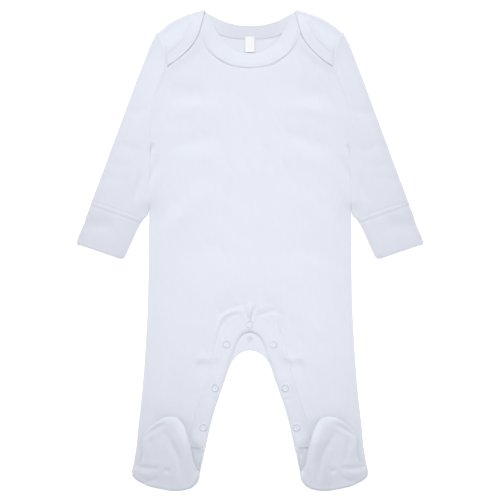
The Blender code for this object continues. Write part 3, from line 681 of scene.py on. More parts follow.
# ---- Front panel --------------------------------------------------------------------------------
# One piece of the same interlock from the ankles to the neck, sewn to the back at both sides. It
# swells a little over the back, and is creased round the crotch where the snaps pull it.
FRONT_END = 6.8               # place on the armhole where the front ends, under the lap
FRONT_CREASES = (
    ("line", "depth", "half width"),
    # the fold that runs round the wearer's right of the crotch
    (((-41, -102), (-38, -90), (-32.6, -80.4), (-23.6, -75.0), (-14, -72.8), (-5, -72)), -0.8, 2.5),
    (((-46, -136), (-41, -116), (-36, -99), (-29.4, -84.5), (-21, -78.6), (-11, -76.4)), 0.9, 2.4),
    (((-40, -80), (-31, -73), (-18, -67.8), (-3, -65)), 0.4, 2.4),
    # the two short pleats above the centre snap, and the swelling that they are in
    (((-16, -72), (0, -74), (16, -72)), -1.1, 9.0),
    (((-7.0, -65), (-6.0, -69), (-4.6, -77), (-2.6, -85), (-1.6, -91)), 1.9, 1.45),
    (((7.8, -65), (6.6, -69), (3.6, -77), (2.0, -85), (1.6, -91)), 2.2, 1.65),
    (((0.8, -62), (0.4, -70), (-0.7, -78), (-0.4, -85)), -1.1, 1.5),
    (((-17, -80), (-14, -88), (-13, -98)), -0.35, 3.0),
    # the softer fold at the wearer's left
    (((1, -80), (9, -78.6), (18, -76), (28, -73.0), (38, -79)), 0.75, 3.0),
    (((8, -70.4), (15.6, -69), (27, -66)), -0.4, 2.4),
    (((26, -66), (33, -70), (40, -80)), 0.35, 2.4),
    (((27, -80), (33, -91), (37.6, -104), (42, -124)), 0.7, 2.6),
    (((20, -92), (23, -104), (24, -116)), -0.4, 3.0),
    # under the crotch snaps
    (((-38, -119), (-45.6, -134.4), (-51, -156)), 0.8, 4.4),
    (((-30, -121), (-37.2, -138), (-40, -152)), 0.5, 3.0),
    (((-46, -118), (-56, -134), (-66, -142)), 0.5, 4.0),
    (((36, -119), (41.8, -134.4), (50, -156)), 0.8, 4.4),
    (((30, -121), (35.8, -138), (38, -150)), 0.5, 3.0),
    (((46, -114), (53, -128), (62, -146)), 0.6, 4.4),
    (((-66, -141), (-48, -142), (-32, -138)), 1.5, 7.0),
    (((66, -140), (48, -142), (32, -138)), 1.5, 7.0),
    (((-68, -129), (-50, -131), (-36, -128)), -1.0, 5.5),
    (((68, -128), (50, -131), (36, -128)), -1.0, 5.5),
    # where the knee snaps pull the placket
    (((-52, -177), (-36, -181.4)), 0.45, 2.2),
    (((52, -178), (36, -181.6)), 0.45, 2.2),
    # drag lines at the waist and the chest
    (((-102, 15), (-72, 50.4), (-40, 76)), -1.1, 9.0),
    (((-120, 16), (-102, 45.6), (-90, 66)), 0.8, 6.0),
    (((104, 12), (76, 46), (44, 78)), -1.0, 9.0),
    (((120, 10), (103, 42), (92, 60)), 0.8, 6.0),
    (((-100, 180), (-78, 187), (-52, 186)), 1.4, 11.0),
    (((98, 179), (77, 186), (52, 187)), 1.4, 11.0),
    (((-104, 160), (-84, 166), (-60, 172), (-34, 166)), -0.7, 7.0),
    (((102, 159), (84, 166), (60, 171), (36, 167)), -0.7, 7.0),
    (((-104, 122), (-78, 126), (-50, 136), (-30, 130)), 1.1, 9.0),
    (((103, 122), (80, 126), (52, 136), (32, 131)), 1.1, 9.0),
    (((-80, 106), (-60, 114), (-30, 104)), -0.7, 8.0),
    (((82, 104), (58, 113), (30, 106)), -0.7, 8.0),
    (((-88, -8), (-50, 2), (-10, -14)), 0.7, 9.0),
    (((90, -12), (56, 0), (20, -20)), 0.7, 9.0),
    (((-104, -60), (-88, -100), (-92, -150)), -0.5, 9.0),
    (((104, -64), (90, -104), (94, -152)), -0.5, 9.0),
    (((-60, -60), (-76, -100), (-72, -150)), 0.4, 8.0),
    (((62, -58), (76, -98), (72, -152)), 0.4, 8.0),
    # the hollow between each folded foot and the inner leg
    (((-84, -202), (-73, -228), (-65, -248), (-61, -286)), 2.4, 6.5),
    (((-80, -228), (-64, -233), (-50, -236)), -2.0, 11.0),
    (((80, -228), (64, -233), (50, -236)), -2.0, 11.0),
    (((84, -202), (73, -228), (65, -248), (61, -286)), 2.4, 6.5),
    # the rise over the neck band's allowance beside each lap
    (((-57, 266), (-64.5, 248), (-78, 232.8), (-102, 215)), -1.6, 5.6),
    (((57, 266), (64.5, 248), (78, 232.8), (102, 215)), -1.6, 5.6),
    # the underarm corners, and the folds that run down from them
    (((-122, 122), (-114, 123)), 1.9, 3.4),
    (((122, 122), (114, 123)), 1.9, 3.4),
    (((-108, 112), (-113, 98), (-122, 80)), 1.6, 3.6),
    (((107, 113), (113, 99), (122, 82)), 1.5, 3.6),
    (((-112, 70), (-115, 48), (-117, 16)), 2.4, 4.2),
    (((112, 68), (115, 46), (117, 14)), 2.4, 4.2),
    (((-121, 62), (-121, 48)), -0.6, 3.0),
    (((121, 62), (121, 48)), -0.6, 3.0))
FINE_FROM = 4                 # gap of the leg's table from which the front's facets are small
FINE_GRID = 1.0
FINE_WIDTH = 44.0             # how far from the middle line they are small
FRONT_GRID = 2.8
BESIDE_NECK = 233.0           # Y from which the neck's seam runs beside the lap
FRONT_WAVES = ((0.13, 34.0, 5), (0.07, 13.0, 8))    # height, length and seed of its unevenness
ANKLE_SEAM = (FLAT_ROUND, 0.8)
BESIDE_SLEEVE = (1.3, 0.5)    # where the body's fold and the sleeve's seam lie side by side
ARMHOLE_SEAM = (0.8, 0.2)
PLACKET_SEAM = (0.8, 0.25)
SHARP_SEAM = (0.4, 0.15)
SNAP_PRESS = 0.5              # how deep a snap is pressed into the cloth
SNAP_PRESS_WIDTH = 7.0
SNAPS = (("center", 0.0, -88.8),
         ("crotch", 28.0, -112.8),
         ("knee", 42.2, -165.2),
         ("ankle", 56.0, -212.8))


def pressed(points):
    """How far the snaps press the cloth in: a bell round each."""
    return SNAP_PRESS * sum(
        bell(np.linalg.norm(on_left(points) - (x, y), axis=-1), SNAP_PRESS_WIDTH)
        for _, x, y in SNAPS)


def front_top(points):
    """Height of the front's upper face: both layers and the space between them, less creases,
    snaps' dents and unevenness. Where these sink it, they do so by the space times the hyperbolic
    tangent of their depth over it, so that the front never goes through the back."""
    space = loft(points)
    sunk = (creased(points, FRONT_CREASES) + pressed(points)
            - sum(unevenness(points, *waves) for waves in FRONT_WAVES))
    return 2.0 * CLOTH + space - np.where(sunk > 0.0, space * np.tanh(sunk / space), sunk)


front_places = np.linspace(CHEST_GAPS, FRONT_END, len(front_neck["seam"])) * LINE_STEPS
front_chest = np.linspace(torso["front center"][-1], front_neck["seam"][0], chest_rows + 1)
thigh = FINE_FROM * LINE_STEPS
front_pairs = sections(((ankle["side"], ankle["inner"]),
                        (leg["side"][:thigh + 1], leg["front seam"][:thigh + 1]),
                        (leg["side"][thigh:], leg["front seam"][thigh:], FINE_GRID),
                        (torso["side"][:LINE_STEPS + 1], torso["front center"][:LINE_STEPS + 1],
                         FINE_GRID),
                        (torso["side"][LINE_STEPS:], torso["front center"][LINE_STEPS:]),
                        (armhole[:chest_rows + 1], front_chest),
                        (at_places(armhole, front_places), front_neck["seam"])),
                       start=FLAT_ROUND, finish=FLAT_ROUND)
front_plan = across(front_pairs, FRONT_GRID, first=SIDE_ROUND, last=FLAT_ROUND,
                    fine=(FINE_WIDTH, FINE_GRID))
front_sheets = []
for plan, facing in both_sides(raised(front_plan, 0.0), 1):
    outer = raised(plan[..., :2], front_top(plan[..., :2]))
    notch_row, underarm_row = row_at(outer, 0, NOTCH), row_at(outer, 0, ARMHOLE[0][1])
    crotch_row, neck_row, beside_row = (
        row_at(outer, -1, height) for height in
        (torso["front center"][0, 1], front_neck["seam"][0, 1], BESIDE_NECK))
    edges = ((outer[0], *ANKLE_SEAM),
             (outer[:notch_row + 1, 0], *SIDE_SEAM),
             (outer[notch_row:underarm_row + 1, 0], *BESIDE_SLEEVE),
             (outer[underarm_row:, 0], *ARMHOLE_SEAM),
             (outer[:crotch_row + 1, -1], *PLACKET_SEAM),
             (outer[neck_row:beside_row + 1, -1], *FLAT_SEAM),
             (outer[beside_row:, -1], *SHARP_SEAM),
             (outer[-1], *FLAT_SEAM))
    front_sheets.append((outer, facing, edges, outer[..., :2]))
cloth_front = sheet_of("cloth_front", front_sheets, cotton)
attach(cloth_front, "root")
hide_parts("front_panel")

# ---- Sleeves ------------------------------------------------------------------------------------
# Each sleeve is one piece of interlock, set in at the armhole, folded along its outer edge and
# closed by a seam from the underarm to the cuff.
SLEEVE_HEAD = 7.0             # place on the armhole where the sleeve starts
SEAM_LAP = 0.7                # how far the sleeve goes in over the armhole's line
LAP_RISE_Y = (220.5, 254.0)   # Y over which its head rises to the lap's height
LAP_RISE_X = (132.0, 104.0)   # X over which it rises, towards the armhole
SLEEVE_GRAIN = 0.37           # turn of the cloth's wales from +Y, in radians
SLEEVE_WAVES = (0.12, 30.0, 11)
TUCK_SHARE = 0.8              # share of the head after which it goes in less, to the underarm
ALLOWANCE_RIDGE = (0.6, 2.8, 2.2)     # height, distance and half width of the ridge at its seam
SLEEVE_SEAM = (1.1, 0.3)      # its edge at the armhole
HEAD_EDGE = (FLAT_ROUND, 0.6)
CUFF_SEAM = (1.7, 0.9)        # its edge at the cuff
SLEEVE_CREASES = (("line", "depth", "half width"),
                  (((129, 94), (134, 76), (139, 58)), 1.4, 3.6),
                  (((182, 82), (166, 86), (148, 86)), 0.6, 4.4),
                  (((128, 118), (146, 122), (160, 130)), 0.7, 6.0),
                  (((124, 62), (123, 48)), -0.5, 4.0),
                  (((172, 106), (152, 100), (138, 104)), 0.6, 6.0),
                  (((118, 170), (136, 164), (150, 168)), 0.7, 5.0))


def side_of(line):
    """Unit directions in plan, a quarter turn to the left of a line, at each of its points."""
    run = np.gradient(line, axis=0)
    run /= np.linalg.norm(run, axis=1, keepdims=True)
    return np.stack([-run[:, 1], run[:, 0]], axis=1)


def folded_tube(pairs, top_height, first):
    """A sheet laid flat and folded along its outer edge: its upper face from the inner edge out,
    a half circle of the height that it has there, and its lower face back."""
    plan = across(pairs, first=first)
    height = top_height(plan)
    radius = height[:, -1:] / 2.0
    angle = np.arange(1, FOLD_STEPS) * np.pi / FOLD_STEPS
    round_plan = (plan[:, -1:] + side_of(pairs[:, 1])[:, None]
                  * (radius * np.sin(angle))[..., None])
    return np.concatenate([raised(plan, height),
                           raised(round_plan, radius * (1.0 + np.cos(angle))),
                           raised(plan[:, ::-1], 0.0)], axis=1)


def turned_grain(points, angle):
    """Cloth coordinates whose wales run at an angle to +Y."""
    way = np.array([[np.cos(angle), -np.sin(angle)], [np.sin(angle), np.cos(angle)]])
    return points[..., :2] @ way.T


def ridge(away, height, distance, half_width):
    """A ridge along a seam: a bell at a distance from it. A negative height makes a trough."""
    return height * bell(away - distance, half_width)


def sleeve_height(points):
    """Height of the sleeve's upper face: its layers and the space between them, the rise to the
    lap, the ridge over the seam allowance and its unevenness, less the creases."""
    beside_lap = ease(points[:, :1, 1], *LAP_RISE_Y) * ease(points[..., 0], *LAP_RISE_X)
    return (2.0 * CLOTH + loft(points) + beside_lap * (CLOTH + LAYER_GAP)
            + ridge(nearest(armhole, points)[0], *ALLOWANCE_RIDGE)
            - creased(points, SLEEVE_CREASES) + unevenness(points, *SLEEVE_WAVES))


head_places = np.linspace(SLEEVE_HEAD, 0.0, len(sleeve_top)) * LINE_STEPS
head = at_places(armhole, head_places)
tuck = SEAM_LAP * ease(np.arange(len(head)), len(head), TUCK_SHARE * len(head))
sleeve_pairs = sections(((head - side_of(head) * tuck[:, None], sleeve_top),
                         (sleeve_lines["inner"], sleeve_lines["outer"])),
                        start=FLAT_ROUND, finish=FLAT_ROUND)
sleeve_outer = folded_tube(sleeve_pairs, sleeve_height, SIDE_ROUND)
underarm_row, notch_row = (len(sleeve_outer) - 1 - row_at(sleeve_outer[::-1], 0, height)
                           for height in (ARMHOLE[0][1], NOTCH))
sleeves = {}
for side, (outer, facing) in zip(("left", "right"), both_sides(sleeve_outer, 1)):
    edges = ((outer[:underarm_row + 1, 0], *SLEEVE_SEAM),
             (outer[underarm_row:notch_row + 1, 0], *BESIDE_SLEEVE),
             (outer[notch_row:, 0], *SIDE_SEAM),
             (outer[:underarm_row + 1, -1], *FLAT_SEAM),
             (outer[underarm_row:, -1], *SIDE_SEAM),
             (outer[0], *HEAD_EDGE),
             (outer[-1], *CUFF_SEAM))
    place = turned_grain(outer, facing * SLEEVE_GRAIN)
    piece = sheet_of("cloth_sleeve_" + side, [(outer, facing, edges, place)], cotton)
    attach(piece, "root")
    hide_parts("sleeve_" + side)
    sleeves[side] = piece

# ---- Cuffs --------------------------------------------------------------------------------------
# A doubled band of the same cotton at each sleeve's end, folded at its lower edge. The seam to
# the sleeve makes a low ridge on it.
CUFF_GRID = 1.4
CUFF_ROUND = 2.2              # radius of its folded lower edge
CUFF_ROLL = 1.5               # how far its upper side falls to the inner edge
CUFF_ROLL_WIDTH = 3.6
CUFF_SIDE = (SIDE_ROUND, SIDE_SEAM[1] - CUFF_ROLL / CLOTH / 2.0)
CUFF_SEWN = (FLAT_ROUND, 0.6)
CUFF_FOLD = (CUFF_ROUND, 0.9)
CUFF_RIDGES = ((0.35, 3.2, 2.0), (-0.45, 6.2, 1.1))     # over its seam allowance
CUFF_WAVES = (0.10, 22.0, 23)
CUFF_CREASES = (("line", "depth", "half width"),
                (((204, 34), (186, 29), (162, 31)), 1.9, 9.0),
                (((146, 22), (152, 6), (156, -6)), -0.35, 4.0),
                (((168, 30), (176, 12)), 0.25, 5.0))


def cuff_height(points):
    """Height of the cuff's upper face: its layers and the space between them, the ridges along
    the seam and its unevenness, less its roll to the inner edge and the creases."""
    seam = nearest(np.stack([cuff_lines["inner"][0], cuff_lines["outer"][0]]), points)[0]
    side = nearest(cuff_lines["inner"], points)[0]
    return (2.0 * CLOTH + loft(points) - CUFF_ROLL * bell(side, CUFF_ROLL_WIDTH)
            + sum(ridge(seam, *form) for form in CUFF_RIDGES)
            - creased(points, CUFF_CREASES) + unevenness(points, *CUFF_WAVES))


cuff_pairs = sections(((cuff_lines["inner"], cuff_lines["outer"]),), CUFF_GRID,
                      start=FLAT_ROUND, finish=CUFF_ROUND)
cuff_outer = folded_tube(cuff_pairs, cuff_height, SIDE_ROUND)
cotton_band = knit("cotton_band", COTTON_WHITE, wale=0.9, course=0.8, relief=0.11)
for side, (outer, facing) in zip(("left", "right"), both_sides(cuff_outer, 1)):
    edges = ((outer[:, 0], *CUFF_SIDE),
             (outer[:, -1], *CUFF_SIDE),
             (outer[0], *CUFF_SEWN),
             (outer[-1], *CUFF_FOLD))
    place = turned_grain(outer, facing * SLEEVE_GRAIN)
    piece = sheet_of("cloth_cuff_" + side, [(outer, facing, edges, place)], cotton_band)
    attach(piece, "root")
    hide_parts("cuff_" + side)

# ---- Neck bands ---------------------------------------------------------------------------------
# Doubled strips round the neck, sewn on at the seam and cover stitched with two needles. The
# back one goes on over both shoulders and along the laps' edges.
BAND_RISE = 0.25              # how far a band stands over the cloth beside it
NECK_STAND = 0.5              # how much more the front one stands up towards the shoulders
NECK_STAND_X = (14.0, 36.0)
# The front one's seam: the first and the last row of each stretch, and its kind of edge.
NECK_SEAM = ((0, 20, 1.1, 0.45), (20, None, 0.4, 0.1))
LAP_BAND_RISE = (1.5, 0.8)    # how far the lap's band stands up at the shoulder and at its end
LAP_BAND_RAMP = 6             # rows over which it does so from the fold
LAP_STITCH_ROW = 5            # row at which the lap's stitches start
LAP_BAND_EDGE = (1.5, 0.75)   # its free edge
LAP_BAND_THICKNESS = 1.6
BAND_GRID = 2.2
BAND_FACET = 0.9
BAND_WIDTH = 20.0             # width that a full row of facets takes over the back one
NECK_ROUND = 0.8              # radius of the front one's sewn edge
NECK_TILT = 3.4               # how far the back one's free edge stands off the table
NECK_TILT_X = (54.0, 20.0)
STITCH_ROWS = (1.5, 4.6)      # distance of the two rows of stitches from the seam
STITCH_DEPTH = 0.3
NECK_STITCH_DEPTH = 0.22
STITCH_TROUGH = 0.7           # half width of the trough along a row
STITCH_RIDGE = (0.25, sum(STITCH_ROWS) / 2, 2.2)     # the ridge between the rows
FREE_ROUND = 1.0              # radius of a band's folded edge
FREE_EDGE = (FREE_ROUND, 0.5)


def stitched(points, seam, depth=STITCH_DEPTH):
    """How far the rows of stitches pull a band down: a narrow bell for each, less the wider
    ridge between them over the seam allowance."""
    away = nearest(seam, points)[0]
    return (sum(ridge(away, depth, row, STITCH_TROUGH) for row in STITCH_ROWS)
            - ridge(away, *STITCH_RIDGE))


def over_strip(outer):
    """Distance over a grid from its first column to each of its points."""
    steps = np.linalg.norm(np.diff(outer, axis=1), axis=-1)
    return np.hstack([np.zeros((len(outer), 1)), np.cumsum(steps, axis=1)])


def strip_place(outer):
    """Cloth coordinates of a strip: the distance along it, and that over it."""
    middle = outer[:, outer.shape[1] // 2]
    along = np.broadcast_to(travelled(middle)[:, None], outer.shape[:2])
    return np.stack([along, over_strip(outer)], axis=-1)


def band_of(name, outer, facing, seams, end, thickness=CLOTH, free=FREE_EDGE):
    """A band from its left half: both sides of it, sewn at its first column, free at its last and
    closed at one end. Its seams are stretches of rows, each with its own kind of edge."""
    sheets = []
    for side, way in both_sides(outer, facing):
        edges = [(side[first:last, 0], *kind) for first, last, *kind in seams]
        edges += [(side[:, -1], *free), (side[end], *FLAT_SEAM)]
        sheets.append((side, way, edges, strip_place(outer)))
    return sheet_of(name, sheets, cotton_band, thickness)


THREAD = 0.22                 # radius of the sewing thread
THREAD_STEP = 0.5
THREAD_SIDES = 6
STITCH_PITCH = 3.0
DIP_SHARPNESS = 3.0           # how sharply the thread goes down between two stitches
DIP_SHARE = 0.35              # how much longer it lies on the cloth than under it
DIP = (0.9, -0.2)             # how far it rises and how low it lies, in radii


def row_on(outer, distance):
    """The line on a grid that runs at a distance from its first column."""
    over = over_strip(outer)
    after = np.clip((over < distance).sum(axis=1), 1, outer.shape[1] - 1)
    every = np.arange(len(outer))
    start, end = over[every, after - 1], over[every, after]
    share = np.clip((distance - start) / (end - start), 0.0, 1.0)[:, None]
    return outer[every, after - 1] * (1.0 - share) + outer[every, after] * share


def mirrored(line, other=None):
    """A line from the middle outwards with its mirror image, or another half, before it."""
    other = line * (-1.0, 1.0, 1.0) if other is None else other
    return np.vstack([other[::-1], line[1:]])


def full_turn(sides):
    """Angles of the corners of a closed ring, whose last corner is its first one again."""
    angle = np.linspace(0.0, 2.0 * np.pi, sides + 1)
    angle[-1] = 0.0
    return angle


def stitch_rows(name, rows, finish):
    """Rows of machine stitches: each is one thread that lies on the cloth for most of the pitch
    and dips under it for the rest, with its ends drawn to a point."""
    patches = []
    for line in rows:
        run = travelled(line)
        at = np.linspace(0.0, run[-1], int(run[-1] / THREAD_STEP))
        path = at_places(line, np.interp(at, run, np.arange(len(line))))
        way = np.gradient(path, axis=0)
        side = np.cross(way, (0.0, 0.0, 1.0))
        side /= np.linalg.norm(side, axis=1, keepdims=True)
        dip = np.tanh(DIP_SHARPNESS * (np.cos(2.0 * np.pi * at / STITCH_PITCH) + DIP_SHARE))
        path[:, 2] += THREAD * (DIP[0] * dip + DIP[1])
        radius = THREAD * np.clip(np.minimum(at, run[-1] - at) / THREAD_STEP, 0.0, 1.0)[:, None]
        angle = full_turn(THREAD_SIDES)
        rings = (path[:, None] + (radius * np.cos(angle))[..., None] * side[:, None]
                 + (radius * np.sin(angle))[..., None] * np.array([0.0, 0.0, 1.0]))
        around = np.linspace(0.0, 2.0 * np.pi * THREAD, THREAD_SIDES + 1)
        place = np.stack(np.broadcast_arrays(around[None], at[:, None]), axis=-1)
        patches.append((rings, place, 1))
    piece = make_piece(name, patches, finish)
    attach(piece, "root")
    return piece


def spun(name, color):
    """Sewing thread, whose fine twist is that of a small knit."""
    return knit(name, color, wale=0.5, course=0.45, relief=0.05, grain_and_shade=0.04)


# The thread is white. Its colour is a little darker than the cloth's, as painted shade for the dips
# of its stitches.
thread = spun("thread_painted_shade", (0.75, 0.78, 0.845))
neck_pairs = sections(((front_neck["seam"], front_neck["edge"]),), BAND_GRID, finish=FLAT_ROUND)
neck_plan = across(neck_pairs, BAND_FACET, NECK_ROUND, FREE_ROUND)
neck_height = (front_top(neck_plan) + BAND_RISE
               + NECK_STAND * ease(neck_plan[..., 0], *NECK_STAND_X)
               - stitched(neck_plan, front_neck["seam"], NECK_STITCH_DEPTH))
neck_front_outer = raised(neck_plan, neck_height)
cloth_neck_front = band_of("cloth_neck_band_front", neck_front_outer, 1, NECK_SEAM, -1)
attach(cloth_neck_front, "root")
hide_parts("neck_band_front")
neck_stitches = stitch_rows("stitches_neck_front", [
    mirrored(row_on(neck_front_outer, distance)) for distance in STITCH_ROWS], thread)

back_neck_pairs = sections(((back_neck["seam"], back_neck["edge"]),), BAND_GRID)
back_neck_plan = across(back_neck_pairs, BAND_FACET, FLAT_ROUND, FREE_ROUND, widest=BAND_WIDTH)
lap_band_pairs = sections(((lap["seam"], lap["edge"]),), BAND_GRID, finish=FLAT_ROUND)
lap_band_plan = across(lap_band_pairs, BAND_FACET, FLAT_ROUND, FREE_ROUND, widest=BAND_WIDTH)
neck_back_outer = over_shoulder(back_neck_plan, back_neck_plan[-1], lap_band_plan)[0]
neck_rows = len(back_neck_plan)
band_share = np.linspace(0.0, 1.0, neck_back_outer.shape[1])
neck_back_outer[:neck_rows, :, 2] += (NECK_TILT * band_share
                                      * ease(back_neck_plan[..., 0], *NECK_TILT_X))
lap_band = neck_back_outer[-len(lap_band_plan):]
lap_ramp = ease(np.arange(len(lap_band)), 0, LAP_BAND_RAMP)[:, None]
lap_rise = np.linspace(*LAP_BAND_RISE, len(lap_band))[:, None]
lap_band[..., 2] += lap_ramp * (lap_rise - stitched(lap_band_plan, lap["seam"]))
cloth_neck_back = band_of("cloth_neck_band_back", neck_back_outer, -1,
                          ((0, neck_rows, *UNDER_BAND), (neck_rows, None, *LAP_SEAM)), -1,
                          LAP_BAND_THICKNESS, LAP_BAND_EDGE)
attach(cloth_neck_back, "root")
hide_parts("neck_band_back")
inside_neck = row_on(neck_back_outer[:neck_rows], STITCH_ROWS[1])
lap_rows = [row_on(lap_band[LAP_STITCH_ROW:], distance) for distance in STITCH_ROWS]
lap_stitches = stitch_rows("stitches_neck_back", [
    mirrored(inside_neck + (0.0, 0.0, LAP_BAND_THICKNESS))] + lap_rows
    + [row * (-1.0, 1.0, 1.0) for row in lap_rows], thread)

# ---- Snap plackets ------------------------------------------------------------------------------
# Shaped bands round the crotch and down both inner legs. The front one lies on the back one and
# carries the snaps.
PLACKET_RISE = 0.35
PLACKET_GRID = 1.6
PLACKET_FACET = 1.0
PLACKET_FINE = 0.9            # facets round the crotch, where its pleats are
PLACKET_BEND = 6              # gap of the leg's table from which they are so small
PLACKET_SEWN = (0.8, 0.35)    # the front one's seam
PLACKET_EDGE = (2.2, 0.7)     # its free edge
PLACKET_END = (FREE_ROUND, 0.6)
PLACKET_ROLL = 1.25           # how far the free edge rolls down
PLACKET_ROLL_WIDTH = 2.8
PLACKET_STITCH_DEPTH = 0.16
PLACKET_HEM = (0.0, -2.0)     # how far the plackets' ends go on over the ankle
UNDER_FACET = 1.8
UNDER_RISE = 0.2              # how far the back one rises where the front one's edge crosses it
UNDER_RISE_WIDTH = 4.5
placket_edge = leg["front edge"][::SPARSE]


def placket_height(points):
    """Height of the front placket's upper face: the front's own and a little more for the
    doubled cloth, less the roll of its free edge and its rows of stitches."""
    half = on_left(points)
    roll = bell(nearest(placket_edge, half)[0], PLACKET_ROLL_WIDTH)
    return (front_top(points) + PLACKET_RISE - PLACKET_ROLL * roll
            - stitched(half, leg["front seam"], PLACKET_STITCH_DEPTH))


def lengthened(line):
    """A line with its start carried on by the hem."""
    return np.vstack([line[:1] + PLACKET_HEM, line])


placket_lines = [lengthened(leg[line]) for line in ("front seam", "front edge")]
bend = PLACKET_BEND * LINE_STEPS
placket_pairs = sections(([line[:bend + 1] for line in placket_lines],
                          [line[bend:] for line in placket_lines] + [PLACKET_FINE]),
                         PLACKET_GRID, start=FREE_ROUND)
placket_plan = across(placket_pairs, PLACKET_FACET, FLAT_ROUND, FREE_ROUND)
placket_sheets = []
for plan, facing in both_sides(raised(placket_plan, 0.0), 1):
    outer = raised(plan[..., :2], placket_height(plan))
    edges = ((outer[:, 0], *PLACKET_SEWN), (outer[:, -1], *PLACKET_EDGE),
             (outer[0], *PLACKET_END))
    placket_sheets.append((outer, facing, edges, strip_place(outer)))
cloth_placket_front = sheet_of("cloth_placket_front", placket_sheets, cotton_band)
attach(cloth_placket_front, "root")
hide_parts("placket_front")
placket_stitches = stitch_rows("stitches_placket_front", [
    mirrored(*(row_on(sheet[0], distance)[::-1] for sheet in placket_sheets))
    for distance in STITCH_ROWS], spun("bright_thread", (0.80, 0.83, 0.89)))

under_pairs = sections(((lengthened(leg["back seam"]), lengthened(leg["back edge"])),),
                       BAND_GRID, start=FREE_ROUND)
under_plan = across(under_pairs, UNDER_FACET, FLAT_ROUND, FREE_ROUND)
under_rise = UNDER_RISE * bell(nearest(placket_edge, under_plan)[0], UNDER_RISE_WIDTH)
under_outer = raised(under_plan, under_rise)
cloth_placket_back = band_of("cloth_placket_back", under_outer, -1, ((0, None, *FLAT_SEAM),), 0)
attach(cloth_placket_back, "root")
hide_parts("placket_back")

# ---- Feet ---------------------------------------------------------------------------------------
# Each foot is an upper and a sole, folded up onto the leg: the upper lies on the leg, and the
# sole shows over it, creased where the foot bends at the heel.
FOOT_LIFT = 8.6               # how far the foot springs off the leg at its inner side
FOOT_LIFT_X = (100.0, 74.0)
FOOT_LIFT_Y = (-199.0, -232.0)
TOE_RISE = 2.4                # how far the toe stands off the leg
TOE_RISE_Y = (-250.0, -206.0)
SOLE_DOME = 1.3
SOLE_RIM = 8.0
SOLE_SLOPE = (0.05, -240.0)   # how steeply it falls towards the heel, and the Y where it starts
HEEL_ROWS = 8                 # gap of the sole's table where the heel starts
HEEL_TURN = 3.6               # radius over which the sole turns down to the back at the heel
HEEL_GAP = 0.3                # how far it stays off the back there
SOLE_GRID = 1.5
SOLE_ROUND = 1.7
SOLE_WAVES = (0.12, 20.0, 31)
SOLE_LEVEL = 0.8              # level of its edges
RIM_SHARE = (0.3, 3.0)        # share of a crease at the rim, and how fast the crown brings more
UPPER_ROWS = 7                # gaps of the sole's table that the upper lies under
UPPER_INSET = 6.5             # how far inside the sole's rim it ends
UPPER_LEVEL = 0.2             # level of its edges
SOLE_EDGE = (-7.0, 4.0)       # distance from the rim over which the sole climbs onto it
SOLE = (("outer", "inner"),
        ((96.4, -198.9), (90.4, -199.1)),
        ((103.6, -200.2), (85.0, -201.2)),
        ((112.2, -205.6), (79.6, -207.4)),
        ((119.8, -211.8), (75.8, -215.6)),
        ((126.2, -217.8), (72.4, -226.4)),
        ((128.8, -228.0), (69.6, -236.6)),
        ((129.0, -243.0), (67.4, -248.6)),
        ((131.4, -253.4), (65.2, -257.4)),
        ((138.2, -259.2), (62.2, -263.0)),
        ((141.2, -265.6), (60.0, -269.0)),
        ((138.6, -274.0), (62.4, -277.6)),
        ((124.0, -282.6), (69.6, -284.8)),
        ((112.0, -286.0), (76.0, -286.9)),
        ((101.0, -288.2), (81.6, -288.4)),
        ((95.0, -289.0), (87.6, -289.0)))
SOLE_CREASES = (("line", "depth", "half width"),
                # the long fold down the middle, and the ridge beside it
                (((103, -212), (95, -230), (87, -245), (82.5, -262), (77, -288)), 1.5, 4.2),
                (((100, -204), (88, -212), (79, -230), (75, -250), (73, -276)), -1.2, 5.0),
                # round the toe
                (((130, -226), (121, -219.4), (111, -212.8), (99, -207)), 1.9, 3.2),
                (((125, -236), (113, -224), (99, -216)), 0.9, 7.0),
                (((122, -230), (123, -248)), -0.4, 4.0),
                (((118, -222), (116.5, -238), (115, -256)), 1.3, 3.2),
                (((106, -232), (104, -246), (100, -258)), 0.4, 8.0),
                # across the heel
                (((142, -257), (134, -259.4), (124, -261.6), (114, -261.6), (107, -262)), 1.5, 3.0),
                (((133, -267), (127, -269), (120, -270)), -0.8, 4.0),
                (((128, -279), (120, -277), (109, -273)), 1.1, 2.6),
                (((104, -263.0), (95, -266)), 1.4, 2.8),
                (((98, -262), (88, -262)), 0.4, 3.0),
                (((69, -262), (70, -274), (72, -290)), 1.3, 1.9),
                (((66, -264), (65.4, -276)), -0.6, 1.8))


def upper_bottom(points):
    """Height of the upper's lower face: on the leg, and sprung off it at the inner side and at
    the toe."""
    spring = ease(points[..., 0], *FOOT_LIFT_X) * ease(points[..., 1], *FOOT_LIFT_Y)
    toe = ease(points[..., 1], *TOE_RISE_Y)
    return 2.0 * CLOTH + loft(points) + LAYER_GAP + FOOT_LIFT * spring + TOE_RISE * toe


def sole_bottom(points, outline, heel_line):
    """Height of the sole's lower face: a crown over the upper, highest inside its rim, less the
    creases. At the heel it turns down to the back in a quarter circle."""
    inside = np.clip(nearest(outline, points)[0] / SOLE_RIM, 0.0, 1.0)
    crown = 1.0 - (1.0 - inside) ** 2
    fall = SOLE_SLOPE[0] * np.minimum(points[..., 1] - SOLE_SLOPE[1], 0.0)
    on_upper = ease(nearest(outline, points)[0], *SOLE_EDGE)
    creasing = np.minimum(1.0, RIM_SHARE[0] + RIM_SHARE[1] * crown)
    full = (upper_bottom(points) + (CLOTH + LAYER_GAP) * on_upper + crown * (SOLE_DOME + fall)
            - creasing * creased(points, SOLE_CREASES))
    turn = np.clip(nearest(heel_line, points)[0] / HEEL_TURN, 0.0, 1.0)
    seat = CLOTH + HEEL_GAP
    return seat + (full - seat) * np.sqrt(1.0 - (1.0 - turn) ** 2)


def edges_all_round(outer, radius, level):
    """The same kind of edge on all four sides of a sheet."""
    return [(line, radius, level) for line in (outer[0], outer[-1], outer[:, 0], outer[:, -1])]


